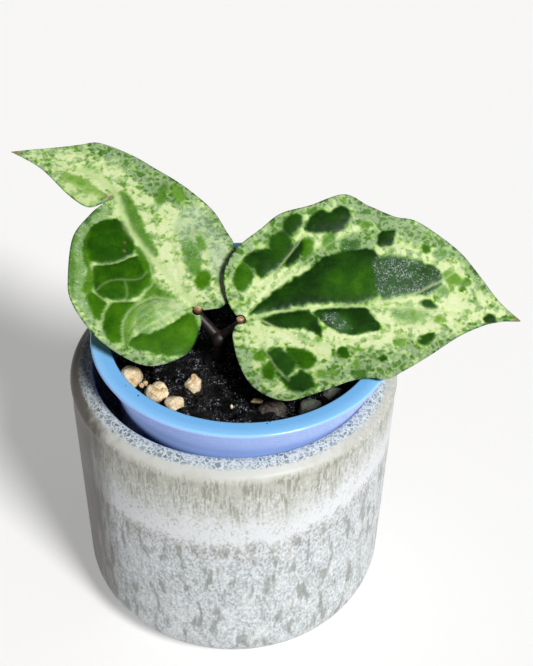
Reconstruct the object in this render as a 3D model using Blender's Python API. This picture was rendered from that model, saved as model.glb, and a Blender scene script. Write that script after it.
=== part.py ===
"""A hoya with two mottled leaves in a blue nursery pot, which stands in a glazed ceramic cover pot.

Metres, +Z up. The origin is the centre of the cover pot's flat foot, the front is -Y, and the leaves
reach out to the left and to the right.
"""

import math
import random

import bmesh
import bpy
from mathutils import Matrix, Vector

MM = 0.001
TOUCHING_GAP = 0.0003

# Cover pot
LIP_RADIUS = 0.0500
LIP_ROUND = 0.0026
LIP_DROP = 0.0042
COVER_HEIGHT = 0.0906
SHOULDER_RADIUS = 0.0470
SHOULDER_DROP = 0.0008
RIM_RADIUS = 0.0455
NECK_RADIUS = 0.0495
NECK_HEIGHT = 0.0835
WALL_RADIUS_HIGH = 0.0497
WALL_TOP_HEIGHT = 0.0780
WALL_RADIUS_LOW = 0.0483
FOOT_FILLET = 0.0155
MOUTH_RADIUS = 0.0429
MOUTH_ROUND = 0.0012
INNER_RADIUS_HIGH = 0.0431
INNER_RADIUS_LOW = 0.0420
INNER_FILLET = 0.0100
COVER_FLOOR = 0.0060

# Nursery pot
NURSERY_CENTRE = Vector((0.0028, -0.0008, 0.0))
NURSERY_TOP = 0.1017
FLANGE_RADIUS = 0.0456
FLANGE_INNER_RADIUS = 0.0398
NURSERY_NECK_RADIUS = 0.0396
NURSERY_NECK_HEIGHT = 0.0908
NURSERY_BASE_RADIUS = 0.0318
NURSERY_WALL = 0.0010
FLANGE_ROUND = 0.0007
NURSERY_HEEL = 0.0024
NURSERY_CORNER = 0.0015
NURSERY_FLOOR_THICKNESS = 0.0014
DRAIN_HOLE_RADIUS = 0.0032
DRAIN_RING_RADIUS = 0.0210
DRAIN_HOLES = 6
DRILL_LENGTH = 0.0060

# Potting mix
MIX_LEVEL = 0.0905
MIX_CORNER_DROP = 0.0006
CHUNK_COUNT = 74
CHUNK_RADIUS = 0.0052
CHUNK_LOWEST = -0.0016
CHUNK_HIGHEST = 0.0006
CHUNK_FLATNESS = 0.8
CHUNK_CORNERS = 11
PUMICE_CORNERS = 16
MIX_SEED = 11
STEM_HOLE_LENGTH = 0.0600

# Plant
STEM_RADIUS = 0.0020
STEM_BOTTOM = Vector((-0.0043, -0.0040, 0.0740))
STEM_JOINT = Vector((-0.0043, -0.0040, 0.1010))
JOINT_RADIUS = 0.0027
STALK_RADII = (0.0018, 0.0012)
KNUCKLE_RADIUS = 0.0013
KNUCKLE_DROP = 0.0001
ELBOW_DROP = 0.0030
BLADE_THICKNESS = 0.0009
NOTCH_RADIUS = 1.75
NOTCH_START = 0.004
FAN_SHARE = 0.2
EDGE_RIPPLE = 0.5
EDGE_WAVES = 9
LEAF_SPANS_ALONG = 36
LEAF_SPANS_ACROSS = 12

TURN_STEPS = 48
ROUND_STEPS = 16


def clear_scene():
    for thing in list(bpy.data.objects):
        bpy.data.objects.remove(thing)


def finish_of(name, colour, roughness):
    material = bpy.data.materials.new(name)
    material.use_nodes = True
    shader = material.node_tree.nodes["Principled BSDF"]
    shader.inputs["Base Color"].default_value = (*colour, 1.0)
    shader.inputs["Roughness"].default_value = roughness
    shader.inputs["Metallic"].default_value = 0.0
    return material


def object_of(shape, name, material, smooth_angle=40):
    """A new object of this bmesh, shaded smooth except at its sharp edges."""
    mesh = bpy.data.meshes.new(name)
    shape.to_mesh(mesh)
    shape.free()
    mesh.materials.append(material)
    mesh.shade_smooth()
    mesh.set_sharp_from_angle(angle=math.radians(smooth_angle))
    thing = bpy.data.objects.new(name, mesh)
    bpy.context.scene.collection.objects.link(thing)
    return thing


def arc(centre, radius, start, end, steps):
    """Points (radius, height) on an arc of a turned profile, with its angles in degrees."""
    angles = [math.radians(start + (end - start) * step / steps) for step in range(steps + 1)]
    return [(centre[0] + radius * math.cos(a), centre[1] + radius * math.sin(a)) for a in angles]


def turned(name, profile, centre, material):
    """The closed solid that this profile sweeps round an upright axis. Both its ends lie on the axis."""
    shape = bmesh.new()
    points = [shape.verts.new((radius, 0.0, height)) for radius, height in profile]
    edges = [shape.edges.new(pair) for pair in zip(points, points[1:])]
    bmesh.ops.spin(
        shape,
        geom=points + edges,
        cent=(0, 0, 0),
        axis=(0, 0, 1),
        angle=2 * math.pi,
        steps=TURN_STEPS,
        use_merge=True,
    )
    bmesh.ops.remove_doubles(shape, verts=shape.verts[:], dist=1e-6)
    bmesh.ops.translate(shape, verts=shape.verts[:], vec=centre)
    bmesh.ops.recalc_face_normals(shape, faces=shape.faces[:])
    return object_of(shape, name, material)


def combine(thing, operation, other):
    """Joins another object, or each object of a collection, to this one, or cuts it away, for good."""
    boolean = thing.modifiers.new(operation.lower(), "BOOLEAN")
    boolean.operation = operation
    boolean.solver = "EXACT"
    if isinstance(other, bpy.types.Collection):
        boolean.operand_type = "COLLECTION"
        boolean.collection = other
    else:
        boolean.object = other
    bpy.context.view_layer.update()
    graph = bpy.context.evaluated_depsgraph_get()
    mesh = bpy.data.meshes.new_from_object(thing.evaluated_get(graph))
    thing.modifiers.clear()
    thing.data = mesh
    removed = list(other.objects) if isinstance(other, bpy.types.Collection) else [other]
    for helper in removed:
        bpy.data.objects.remove(helper)


def keep_largest_shell(thing):
    """Fills the small hollows that fused chunks seal between them, and drops loose scraps."""
    shape = bmesh.new()
    shape.from_mesh(thing.data)
    unseen = set(shape.verts)
    shells = []
    while unseen:
        shell = set()
        front = [unseen.pop()]
        while front:
            corner = front.pop()
            shell.add(corner)
            near = [edge.other_vert(corner) for edge in corner.link_edges]
            front += [other for other in near if other in unseen]
            unseen.difference_update(near)
        shells.append(shell)
    shells.sort(key=len)
    for shell in shells[:-1]:
        bmesh.ops.delete(shape, geom=list(shell), context="VERTS")
    shape.to_mesh(thing.data)
    shape.free()


def make_cover_pot():
    """The turned ceramic pot: flat foot, rounded heel, nearly straight wall, and a rounded lip."""
    glaze = finish_of("reactive glaze", (0.52, 0.52, 0.48), 0.35)
    heel_radius = WALL_RADIUS_LOW - FOOT_FILLET
    inner_heel_radius = INNER_RADIUS_LOW - INNER_FILLET
    profile = [(0.0, 0.0), (heel_radius, 0.0)]
    profile += arc((heel_radius, FOOT_FILLET), FOOT_FILLET, -75, 0, 5)
    profile += [(WALL_RADIUS_HIGH, WALL_TOP_HEIGHT), (NECK_RADIUS, NECK_HEIGHT)]
    profile += arc((LIP_RADIUS - LIP_ROUND, COVER_HEIGHT - LIP_DROP), LIP_ROUND, -20, 60, 3)
    profile += [(SHOULDER_RADIUS, COVER_HEIGHT - SHOULDER_DROP), (RIM_RADIUS, COVER_HEIGHT)]
    profile += arc((MOUTH_RADIUS + MOUTH_ROUND, COVER_HEIGHT - MOUTH_ROUND), MOUTH_ROUND, 100, 180, 3)
    profile += [(INNER_RADIUS_HIGH, WALL_TOP_HEIGHT)]
    profile += arc((inner_heel_radius, COVER_FLOOR + INNER_FILLET), INNER_FILLET, 0, -90, 4)
    profile += [(0.0, COVER_FLOOR)]
    return turned("cover_pot", profile, Vector((0, 0, 0)), glaze)


def nursery_inner_radius(height):
    """The radius of the nursery pot's inner wall, which widens evenly from its floor to its neck."""
    rise = (height - COVER_FLOOR) / (NURSERY_NECK_HEIGHT - COVER_FLOOR)
    outer = NURSERY_BASE_RADIUS + (NURSERY_NECK_RADIUS - NURSERY_BASE_RADIUS) * min(rise, 1.0)
    return outer - NURSERY_WALL


def make_nursery_pot():
    """The moulded pot: drained floor, thin tapering wall, flared collar, and a flat flange."""
    plastic = finish_of("blue plastic", (0.24, 0.52, 0.90), 0.30)
    base = COVER_FLOOR + TOUCHING_GAP
    floor_top = base + NURSERY_FLOOR_THICKNESS
    corner_top = floor_top + NURSERY_CORNER
    edge_height = NURSERY_TOP - FLANGE_ROUND
    profile = [(0.0, base)]
    profile += arc((NURSERY_BASE_RADIUS - NURSERY_HEEL, base + NURSERY_HEEL), NURSERY_HEEL, -90, 0, 3)
    profile += [(NURSERY_NECK_RADIUS, NURSERY_NECK_HEIGHT)]
    profile += arc((FLANGE_RADIUS - FLANGE_ROUND, edge_height), FLANGE_ROUND, -40, 90, 3)
    profile += arc((FLANGE_INNER_RADIUS + FLANGE_ROUND, edge_height), FLANGE_ROUND, 90, 180, 2)
    profile += [(nursery_inner_radius(NURSERY_NECK_HEIGHT), NURSERY_NECK_HEIGHT)]
    profile += [(nursery_inner_radius(corner_top), corner_top)]
    profile += [(nursery_inner_radius(floor_top) - NURSERY_CORNER, floor_top), (0.0, floor_top)]
    pot = turned("nursery_pot", profile, NURSERY_CENTRE, plastic)
    drills = bmesh.new()
    places = [(0.0, 0.0)]
    for hole in range(DRAIN_HOLES):
        turn = 2 * math.pi * hole / DRAIN_HOLES
        places.append((DRAIN_RING_RADIUS * math.cos(turn), DRAIN_RING_RADIUS * math.sin(turn)))
    for x, y in places:
        bmesh.ops.create_cone(
            drills,
            cap_ends=True,
            segments=ROUND_STEPS,
            radius1=DRAIN_HOLE_RADIUS,
            radius2=DRAIN_HOLE_RADIUS,
            depth=DRILL_LENGTH,
            matrix=Matrix.Translation(NURSERY_CENTRE + Vector((x, y, base))),
        )
    combine(pot, "DIFFERENCE", object_of(drills, "drills", plastic))
    return pot


def rough_chunk(centre, radius, rng, material, corners):
    """An angular stone: the hull of a few points scattered round its middle."""
    shape = bmesh.new()
    for _ in range(corners):
        away = Vector((rng.gauss(0, 1), rng.gauss(0, 1), rng.gauss(0, 1))).normalized()
        reach = radius * rng.uniform(0.85, 1.15)
        shape.verts.new(centre + Vector((away.x, away.y, CHUNK_FLATNESS * away.z)) * reach)
    hull = bmesh.ops.convex_hull(shape, input=shape.verts[:])
    bmesh.ops.delete(shape, geom=hull["geom_interior"], context="VERTS")
    bmesh.ops.recalc_face_normals(shape, faces=shape.faces[:])
    return object_of(shape, "chunk", material)


# The pale stones that lie on the mix: the middle of each from the pot's axis, and its radius
PUMICE_STONES = (
    (Vector((-0.0296, -0.0132, 0.0936)), 0.0032),
    (Vector((-0.0225, -0.0199, 0.0932)), 0.0029),
    (Vector((-0.0198, -0.0193, 0.0930)), 0.0019),
    (Vector((-0.0167, -0.0237, 0.0930)), 0.0027),
    (Vector((-0.0115, -0.0167, 0.0936)), 0.0024),
    (Vector((0.0220, -0.0250, 0.0925)), 0.0034),
    (Vector((0.0286, -0.0196, 0.0925)), 0.0034),
)


def make_potting_mix():
    """The filling of the nursery pot, with its chunks and stones grown together at the top."""
    grit = finish_of("black mix", (0.02, 0.02, 0.022), 0.7)
    rng = random.Random(MIX_SEED)
    base = COVER_FLOOR + 2 * TOUCHING_GAP + NURSERY_FLOOR_THICKNESS
    low_radius = nursery_inner_radius(base + NURSERY_CORNER) - 2 * TOUCHING_GAP
    top_radius = nursery_inner_radius(MIX_LEVEL) - 1.5 * TOUCHING_GAP
    profile = [(0.0, base), (low_radius - NURSERY_CORNER, base), (low_radius, base + NURSERY_CORNER)]
    profile += [(top_radius, MIX_LEVEL - MIX_CORNER_DROP), (0.0, MIX_LEVEL)]
    mix = turned("potting_mix", profile, NURSERY_CENTRE, grit)
    chunks = bpy.data.collections.new("chunks")
    golden_turn = math.pi * (3 - math.sqrt(5))
    for number in range(CHUNK_COUNT):
        radius = CHUNK_RADIUS * rng.uniform(0.75, 1.2)
        reach = (top_radius - 1.25 * radius) * math.sqrt((number + 0.5) / CHUNK_COUNT)
        turn = golden_turn * number
        level = MIX_LEVEL + rng.uniform(CHUNK_LOWEST, CHUNK_HIGHEST)
        centre = NURSERY_CENTRE + Vector((reach * math.cos(turn), reach * math.sin(turn), level))
        chunks.objects.link(rough_chunk(centre, radius, rng, grit, CHUNK_CORNERS))
    for centre, radius in PUMICE_STONES:
        chunks.objects.link(rough_chunk(centre, radius, rng, grit, PUMICE_CORNERS))
    combine(mix, "UNION", chunks)
    drill = bmesh.new()
    drill_middle = STEM_BOTTOM + Vector((0.0, 0.0, STEM_HOLE_LENGTH / 2 - TOUCHING_GAP))
    bmesh.ops.create_cone(
        drill,
        cap_ends=True,
        segments=ROUND_STEPS,
        radius1=STEM_RADIUS + 2 * TOUCHING_GAP,
        radius2=STEM_RADIUS + 2 * TOUCHING_GAP,
        depth=STEM_HOLE_LENGTH,
        matrix=Matrix.Translation(drill_middle),
    )
    combine(mix, "DIFFERENCE", object_of(drill, "stem_hole", grit))
    keep_largest_shell(mix)
    return mix


def smooth_through(points, place):
    """The point at this place, from 0 to 1, on a smooth curve through all the points."""
    spans = len(points) - 1
    scaled = min(max(place, 0.0), 1.0) * spans
    span = min(int(scaled), spans - 1)
    t = scaled - span
    before = points[max(span - 1, 0)]
    start = points[span]
    end = points[span + 1]
    after = points[min(span + 2, spans)]
    return (
        0.5 * (2 * start + (end - before) * t)
        + 0.5 * (2 * before - 5 * start + 4 * end - after) * t**2
        + 0.5 * (3 * start - before - 3 * end + after) * t**3
    )


class Leaf:
    """A heart-shaped blade, drawn flat in millimetres as (along the midrib, out to its left), then bent.

    turns holds three angles in degrees: the azimuth and the rise of the midrib where it leaves the
    joint, and the tilt that raises the left half. cups curls up the left and the right half, and arch
    bends the tip down. The knuckle of the stalk sits at the joint, and the notch of the heart wraps round
    it. advance says how fast the midrib runs on while the two edges start backwards.
    """

    def __init__(self, name, joint, turns, midrib, left_edge, right_edge, advance, cups, arch):
        a, r, t = [math.radians(turn) for turn in turns]
        self.name = name
        self.joint = joint
        self.along = Vector((math.cos(a) * math.cos(r), math.sin(a) * math.cos(r), math.sin(r)))
        level = Vector((-math.sin(a), math.cos(a), 0.0))
        self.out = math.cos(t) * level + math.sin(t) * self.along.cross(level)
        self.up = self.along.cross(self.out)
        tip = midrib[-1]
        self.midrib = [Vector(p) for p in ((0, 0), *midrib)]
        self.edges = [[Vector(p) for p in ((0, 0), *edge, tip)] for edge in (left_edge, right_edge)]
        self.advance = advance
        self.cups = cups
        self.arch = arch

    def flat(self, u, v):
        """The flat place (along, out): u runs from joint to tip, and v from the right edge to the left."""
        rib = smooth_through(self.midrib, u**self.advance)
        edge = smooth_through(self.edges[0 if v > 0 else 1], u)
        start = math.atan2(rib.y, rib.x)
        turn = start + (math.atan2(edge.y, edge.x) - start) * abs(v)
        reach = rib.length + (edge.length - rib.length) * abs(v)
        fanned = Vector((math.cos(turn), math.sin(turn))) * reach
        place = (rib + (edge - rib) * abs(v)).lerp(fanned, math.exp(-((u / FAN_SHARE) ** 2)))
        return place.normalized() * (place.length**3 + NOTCH_RADIUS**3) ** (1 / 3)

    def height(self, flat, u, v):
        """How far the bend lifts this place off the flat blade's plane."""
        cup = self.cups[0 if flat.y > 0 else 1] * flat.y**2
        length = self.midrib[-1].x
        wave = math.sin(EDGE_WAVES * math.pi * u + 2 * v)
        ripple = EDGE_RIPPLE * math.sin(math.pi * u) * abs(v) ** 3 * wave
        return cup - self.arch * (flat.x / length) ** 2 * length + ripple

    def point(self, u, v):
        flat = self.flat(u, v)
        lift = self.height(flat, u, v)
        return self.joint + (self.along * flat.x + self.out * flat.y + self.up * lift) * MM

    def knuckle(self):
        """Where the leaf stalk ends: in the notch of the heart, level with the blade."""
        return self.joint - self.up * KNUCKLE_DROP

    def elbow(self):
        """Where the leaf stalk bends, straight under its knuckle."""
        return self.knuckle() - self.up * ELBOW_DROP


RIGHT_LEAF = Leaf(
    name="leaf_right",
    joint=Vector((0.0019, -0.0062, 0.1100)),
    turns=(0, 0, 28),
    midrib=((8, 2.5), (20, 4.5), (32, 5), (44, 5), (56, 4.5), (68, 2.5), (77, 1.5), (82.5, 1.5)),
    left_edge=(
        (-3.5, 5.5), (-5, 14.5), (-1.5, 22.5), (5.5, 29), (11.5, 34), (20.5, 36.5), (31, 40.5),
        (38.5, 37), (46, 33.5), (53.5, 32), (64.5, 24), (71, 15.5), (76.5, 7.5),
    ),
    right_edge=(
        (-1.5, -2.5), (-2, -6), (0, -14.5), (4.5, -22.5), (13, -27), (23, -23.5), (31.5, -19.5),
        (37.5, -18.5), (42, -19), (47.5, -15.5), (55, -10.5), (64, -4), (71, -0.5), (77, 1),
    ),
    advance=1.3,
    cups=(0.002, 0.0085),
    arch=0.02,
)

LEFT_LEAF = Leaf(
    name="leaf_left",
    joint=Vector((-0.0106, -0.0017, 0.1100)),
    turns=(127, 18, -14),
    midrib=((11.5, 0.5), (24, 1.5), (36, 1.5), (48, -1.5), (55.5, 0.5), (68.5, 7), (77.5, 13), (82, 17)),
    left_edge=(
        (-4, 1.5), (-9.5, 8), (-10.5, 15), (-8.5, 22), (-2.5, 26.5), (8.5, 30), (21, 30),
        (29.5, 26.5), (42.5, 17.5), (47.5, 8.5), (48.3, 3.5), (48.6, -0.5), (48.9, 3.5),
        (50.5, 8), (57.5, 10.5), (69, 12), (75.5, 14),
    ),
    right_edge=(
        (-2, -3.5), (-3, -7), (1, -13), (10.5, -20.5), (18, -22), (27, -23), (37, -21),
        (48.5, -17.5), (59, -14), (69, -8), (72.5, -2.5), (78.5, 9),
    ),
    advance=1.5,
    cups=(0.0045, 0.001),
    arch=0.03,
)


def make_leaf(leaf, colour):
    """The thick blade: a sheet of triangles from joint to tip, given its thickness downwards."""
    skin = finish_of(leaf.name + " skin", colour, 0.4)
    shape = bmesh.new()
    bmesh.ops.create_grid(
        shape,
        x_segments=LEAF_SPANS_ALONG,
        y_segments=LEAF_SPANS_ACROSS,
        size=1.0,
    )
    for corner in shape.verts:
        share = (corner.co.x + 1) / 2
        corner.co = leaf.point(NOTCH_START + (1 - NOTCH_START) * share, corner.co.y)
    bmesh.ops.remove_doubles(shape, verts=shape.verts[:], dist=1e-6)
    bmesh.ops.triangulate(shape, faces=shape.faces[:])
    blade = object_of(shape, leaf.name, skin)
    wall = blade.modifiers.new("thickness", "SOLIDIFY")
    wall.thickness = BLADE_THICKNESS
    wall.offset = -1.0
    return blade


def round_stalk(name, points, thickness, material):
    """A round stalk through these points, with its radius at each end, as a closed mesh."""
    steps = 8
    curve = bpy.data.curves.new(name, "CURVE")
    curve.dimensions = "3D"
    curve.bevel_depth = 1.0
    curve.bevel_resolution = 2
    curve.use_fill_caps = True
    line = curve.splines.new("POLY")
    line.points.add(steps)
    for step in range(steps + 1):
        place = step / steps
        line.points[step].co = (*smooth_through(points, place), 1.0)
        line.points[step].radius = thickness[0] + (thickness[1] - thickness[0]) * place
    helper = bpy.data.objects.new(name, curve)
    bpy.context.scene.collection.objects.link(helper)
    bpy.context.view_layer.update()
    graph = bpy.context.evaluated_depsgraph_get()
    mesh = bpy.data.meshes.new_from_object(helper.evaluated_get(graph))
    bpy.data.objects.remove(helper)
    shape = bmesh.new()
    shape.from_mesh(mesh)
    bmesh.ops.remove_doubles(shape, verts=shape.verts[:], dist=1e-7)
    bmesh.ops.recalc_face_normals(shape, faces=shape.faces[:])
    return object_of(shape, name, material)


def bead(name, centre, radius, material):
    shape = bmesh.new()
    bmesh.ops.create_icosphere(shape, subdivisions=2, radius=radius, matrix=Matrix.Translation(centre))
    return object_of(shape, name, material)


def make_stem():
    """The stem with its swollen joint, the two short leaf stalks, and the knuckle at the end of each."""
    bark = finish_of("stem bark", (0.19, 0.07, 0.045), 0.45)
    middle = (STEM_BOTTOM + STEM_JOINT) / 2
    stem = round_stalk("hoya_stem", [STEM_BOTTOM, middle, STEM_JOINT], (STEM_RADIUS, STEM_RADIUS), bark)
    joints = bpy.data.collections.new("stem pieces")
    joints.objects.link(bead("stem joint", STEM_JOINT, JOINT_RADIUS, bark))
    for leaf in (LEFT_LEAF, RIGHT_LEAF):
        course = [STEM_JOINT, leaf.elbow(), leaf.knuckle()]
        joints.objects.link(round_stalk("stalk", course, STALK_RADII, bark))
        joints.objects.link(bead("knuckle", leaf.knuckle(), KNUCKLE_RADIUS, bark))
    combine(stem, "UNION", joints)
    return stem


clear_scene()
make_cover_pot()
make_nursery_pot()
make_potting_mix()
make_stem()
make_leaf(LEFT_LEAF, (0.25, 0.42, 0.14))
make_leaf(RIGHT_LEAF, (0.22, 0.40, 0.12))
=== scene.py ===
"""The looks of a potted hoya: two mottled leaves over a blue nursery pot in a glazed cover pot.

Metres, +Z up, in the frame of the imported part. The front is -Y.
"""

import math
import random
from collections import namedtuple

import bmesh
import bpy
import numpy as np
from mathutils import Matrix, Vector, noise


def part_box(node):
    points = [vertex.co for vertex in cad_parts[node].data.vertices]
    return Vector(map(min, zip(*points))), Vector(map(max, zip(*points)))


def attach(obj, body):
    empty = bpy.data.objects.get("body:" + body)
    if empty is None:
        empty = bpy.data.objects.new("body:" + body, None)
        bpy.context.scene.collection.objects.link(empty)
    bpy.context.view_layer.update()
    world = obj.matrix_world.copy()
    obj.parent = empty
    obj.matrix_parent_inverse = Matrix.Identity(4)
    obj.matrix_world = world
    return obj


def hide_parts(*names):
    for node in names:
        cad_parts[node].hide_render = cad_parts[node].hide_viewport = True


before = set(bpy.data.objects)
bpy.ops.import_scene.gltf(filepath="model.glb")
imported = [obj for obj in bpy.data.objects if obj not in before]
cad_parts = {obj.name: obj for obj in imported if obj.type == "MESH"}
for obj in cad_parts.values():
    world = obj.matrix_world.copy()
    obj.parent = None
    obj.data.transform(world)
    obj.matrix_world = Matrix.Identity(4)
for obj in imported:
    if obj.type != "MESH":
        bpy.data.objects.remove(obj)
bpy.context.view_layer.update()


# Cover pot
# A thick stoneware pot, thrown on a wheel and dipped in a grey reactive glaze. The glaze ran while
# it melted: it left the shoulder cream, broke into pale crystals below, and pooled on the flat rim.

MM = 0.001
COVER_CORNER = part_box("cover_pot")[1]
LIP_RADIUS = COVER_CORNER.x
COVER_HEIGHT = COVER_CORNER.z
LIP_ROUND = 0.0026
LIP_DROP = 0.0042
SHOULDER_RADIUS = 0.0470
SHOULDER_DROP = 0.0008
RIM_RADIUS = 0.0455
NECK_RADIUS = 0.0495
NECK_HEIGHT = 0.0835
WALL_RADIUS_HIGH = 0.0497
WALL_TOP_HEIGHT = 0.0780
WALL_RADIUS_LOW = 0.0483
WALL_STEPS = 12
FOOT_FILLET = 0.0155
FOOT_EDGE = 0.0010
MOUTH_RADIUS = 0.0429
MOUTH_ROUND = 0.0012
INNER_RADIUS_HIGH = 0.0431
INNER_RADIUS_LOW = 0.0420
INNER_FILLET = 0.0100
COVER_FLOOR = 0.0060
POOL_RADIUS_MM = 47.6
DRIP_REACH_MM = 14.0
CRYSTAL_REACH_MM = 24.0
CRAZE_SCALE = 0.72
MERGE_GAP = 1e-6


def arc(centre, radius, start, end, steps):
    """Points (radius, height) on an arc of a turned profile, with its angles in degrees."""
    angles = [math.radians(start + (end - start) * step / steps) for step in range(steps + 1)]
    return [(centre[0] + radius * math.cos(a), centre[1] + radius * math.sin(a)) for a in angles]


def turned(profile, centre=(0, 0, 0), steps=192):
    """The closed solid that this profile sweeps round an upright axis. Both its ends lie on the axis."""
    shape = bmesh.new()
    corners = [shape.verts.new((radius, 0.0, height)) for radius, height in profile]
    edges = [shape.edges.new(pair) for pair in zip(corners, corners[1:])]
    bmesh.ops.spin(
        shape,
        geom=corners + edges,
        cent=(0, 0, 0),
        axis=(0, 0, 1),
        angle=2 * math.pi,
        steps=steps,
        use_merge=True,
    )
    bmesh.ops.remove_doubles(shape, verts=shape.verts[:], dist=MERGE_GAP)
    bmesh.ops.translate(shape, verts=shape.verts[:], vec=centre)
    bmesh.ops.recalc_face_normals(shape, faces=shape.faces[:])
    return shape


def mesh_of(shape, name):
    """The mesh of this bmesh, which is used up."""
    mesh = bpy.data.meshes.new(name)
    shape.to_mesh(mesh)
    shape.free()
    return mesh


def placed(name, data):
    """A new object in the scene, for this mesh, lamp or camera."""
    thing = bpy.data.objects.new(name, data)
    bpy.context.scene.collection.objects.link(thing)
    return thing


def piece_of(shape, name, *finishes, smooth_angle=50):
    """The object of this bmesh, smooth except at its sharp edges, riding on the plant's one body."""
    mesh = mesh_of(shape, name)
    for finish in finishes:
        mesh.materials.append(finish.material)
    mesh.shade_smooth()
    mesh.set_sharp_from_angle(angle=math.radians(smooth_angle))
    piece = placed(name, mesh)
    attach(piece, "root")
    return piece


def tint(red, green, blue):
    """A shader colour from the eight-bit values of a swatch."""
    swatch = [channel / 255 for channel in (red, green, blue)]
    return (*[c / 12.92 if c <= 0.04045 else ((c + 0.055) / 1.055) ** 2.4 for c in swatch], 1.0)


class Layer:
    """A value or colour that changes over a surface: a node's output, with arithmetic."""

    def __init__(self, shading, socket):
        self.shading = shading
        self.socket = socket

    def __add__(self, other):
        return self.shading.maths("ADD", self, other)

    def __sub__(self, other):
        return self.shading.maths("SUBTRACT", self, other)

    def __rsub__(self, other):
        return self.shading.maths("SUBTRACT", other, self)

    def __mul__(self, other):
        return self.shading.maths("MULTIPLY", self, other)

    def band(self, start, end, low=0.0, high=1.0):
        """Runs smoothly from low to high as this value goes from start to end."""
        inputs = {"Value": self, "From Min": start, "From Max": end, "To Min": low, "To Max": high}
        return self.shading.node("MapRange", inputs, "Result", interpolation_type="SMOOTHSTEP")


class Shading:
    """The shader nodes of a material or a group, and short calls that add to them."""

    def __init__(self, tree):
        self.tree = tree

    def node(self, kind, inputs, output=0, **settings):
        """One output of a new node. An input is a plain value, or the layer that feeds it."""
        added = self.tree.nodes.new("ShaderNode" + kind)
        for setting, value in settings.items():
            setattr(added, setting, value)
        for socket, value in inputs.items():
            if isinstance(value, Layer):
                self.tree.links.new(value.socket, added.inputs[socket])
            else:
                added.inputs[socket].default_value = value
        return Layer(self, added.outputs[output])

    def maths(self, operation, *values):
        """Arithmetic on numbers."""
        return self.node("Math", dict(enumerate(values)), operation=operation)

    def vector_maths(self, operation, *values, output="Vector", **named):
        """Arithmetic on places and colours."""
        inputs = {**dict(enumerate(values)), **named}
        return self.node("VectorMath", inputs, output, operation=operation)


class Finish(Shading):
    """A material being made, on the Object coordinates in millimetres, which are called the place.

    A colour is a layer, or a swatch of three eight-bit values.
    """

    def __init__(self, name, **constants):
        self.material = bpy.data.materials.new(name)
        self.material.use_nodes = True
        super().__init__(self.material.node_tree)
        self.shader = self.tree.nodes["Principled BSDF"]
        for socket, value in constants.items():
            self.shader.inputs[socket.replace("_", " ")].default_value = value
        where = self.node("TexCoord", {}, "Object")
        self.place = self.vector_maths("SCALE", where, Scale=1 / MM)
        self.x, self.z = [self.node("SeparateXYZ", {0: self.place}, axis) for axis in "XZ"]

    def radius(self, centre=(0.0, 0.0)):
        """The level distance from the upright axis through this centre, in millimetres."""
        offset = self.vector_maths("SUBTRACT", self.place, (*centre, 0.0))
        level = self.vector_maths("MULTIPLY", offset, (1.0, 1.0, 0.0))
        return self.vector_maths("LENGTH", level, output="Value")

    def noise(self, scale, detail, roughness=0.55, distortion=0.0, place=None):
        """Smooth noise. The scale is one number, or a pair: across, and up the piece."""
        place = place or self.place
        if isinstance(scale, tuple):
            across, upright = scale
            place = self.vector_maths("MULTIPLY", place, (across, across, upright))
            scale = 1.0
        inputs = {"Vector": place, "Scale": scale, "Detail": detail, "Roughness": roughness}
        return self.node("TexNoise", {**inputs, "Distortion": distortion}, "Fac")

    def warped(self, scale, reach):
        """The place, shifted up to about reach millimetres by smooth noise of this scale."""
        drift = self.node("TexNoise", {"Vector": self.place, "Scale": scale, "Detail": 2.0}, "Color")
        centred = self.vector_maths("SUBTRACT", drift, (0.5, 0.5, 0.5))
        return self.vector_maths("MULTIPLY_ADD", centred, (2 * reach,) * 3, self.place)

    def cracks(self, place, scale):
        """How far it is to the border of the cell, in a pattern of cracked cells."""
        inputs = {"Vector": place, "Scale": scale}
        return self.node("TexVoronoi", inputs, "Distance", feature="DISTANCE_TO_EDGE")

    def group(self, group, **inputs):
        """The effect of a shared node group, at the place."""
        return self.node("Group", {"Place": self.place, **inputs}, node_tree=group)

    def attribute(self, name):
        """A value stored at the points of the mesh."""
        return self.node("Attribute", {}, "Fac", attribute_name=name)

    def ramp(self, value, *stops):
        """A colour for each value, from stops of a position and a swatch."""
        ramp = self.tree.nodes.new("ShaderNodeValToRGB")
        self.tree.links.new(value.socket, ramp.inputs["Fac"])
        elements = ramp.color_ramp.elements
        while len(elements) < len(stops):
            elements.new(0.5)
        for element, (position, *swatch) in zip(elements, stops):
            element.position = position
            element.color = tint(*swatch)
        return Layer(self, ramp.outputs["Color"])

    def mix(self, share, under, over):
        """The colour under, with this share of the colour over laid on it."""
        under, over = [colour if isinstance(colour, Layer) else tint(*colour) for colour in (under, over)]
        return self.node("Mix", {"Factor": share, 6: under, 7: over}, 2, data_type="RGBA")

    def feed(self, socket, layer):
        self.tree.links.new(layer.socket, self.shader.inputs[socket])

    def bump(self, height, depth_mm, strength=1.0):
        """Roughens the surface by this height, which is about depth_mm deep from 0 to 1."""
        inputs = {"Height": height, "Strength": strength, "Distance": depth_mm * MM}
        self.feed("Normal", self.node("Bump", inputs, "Normal"))


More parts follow.
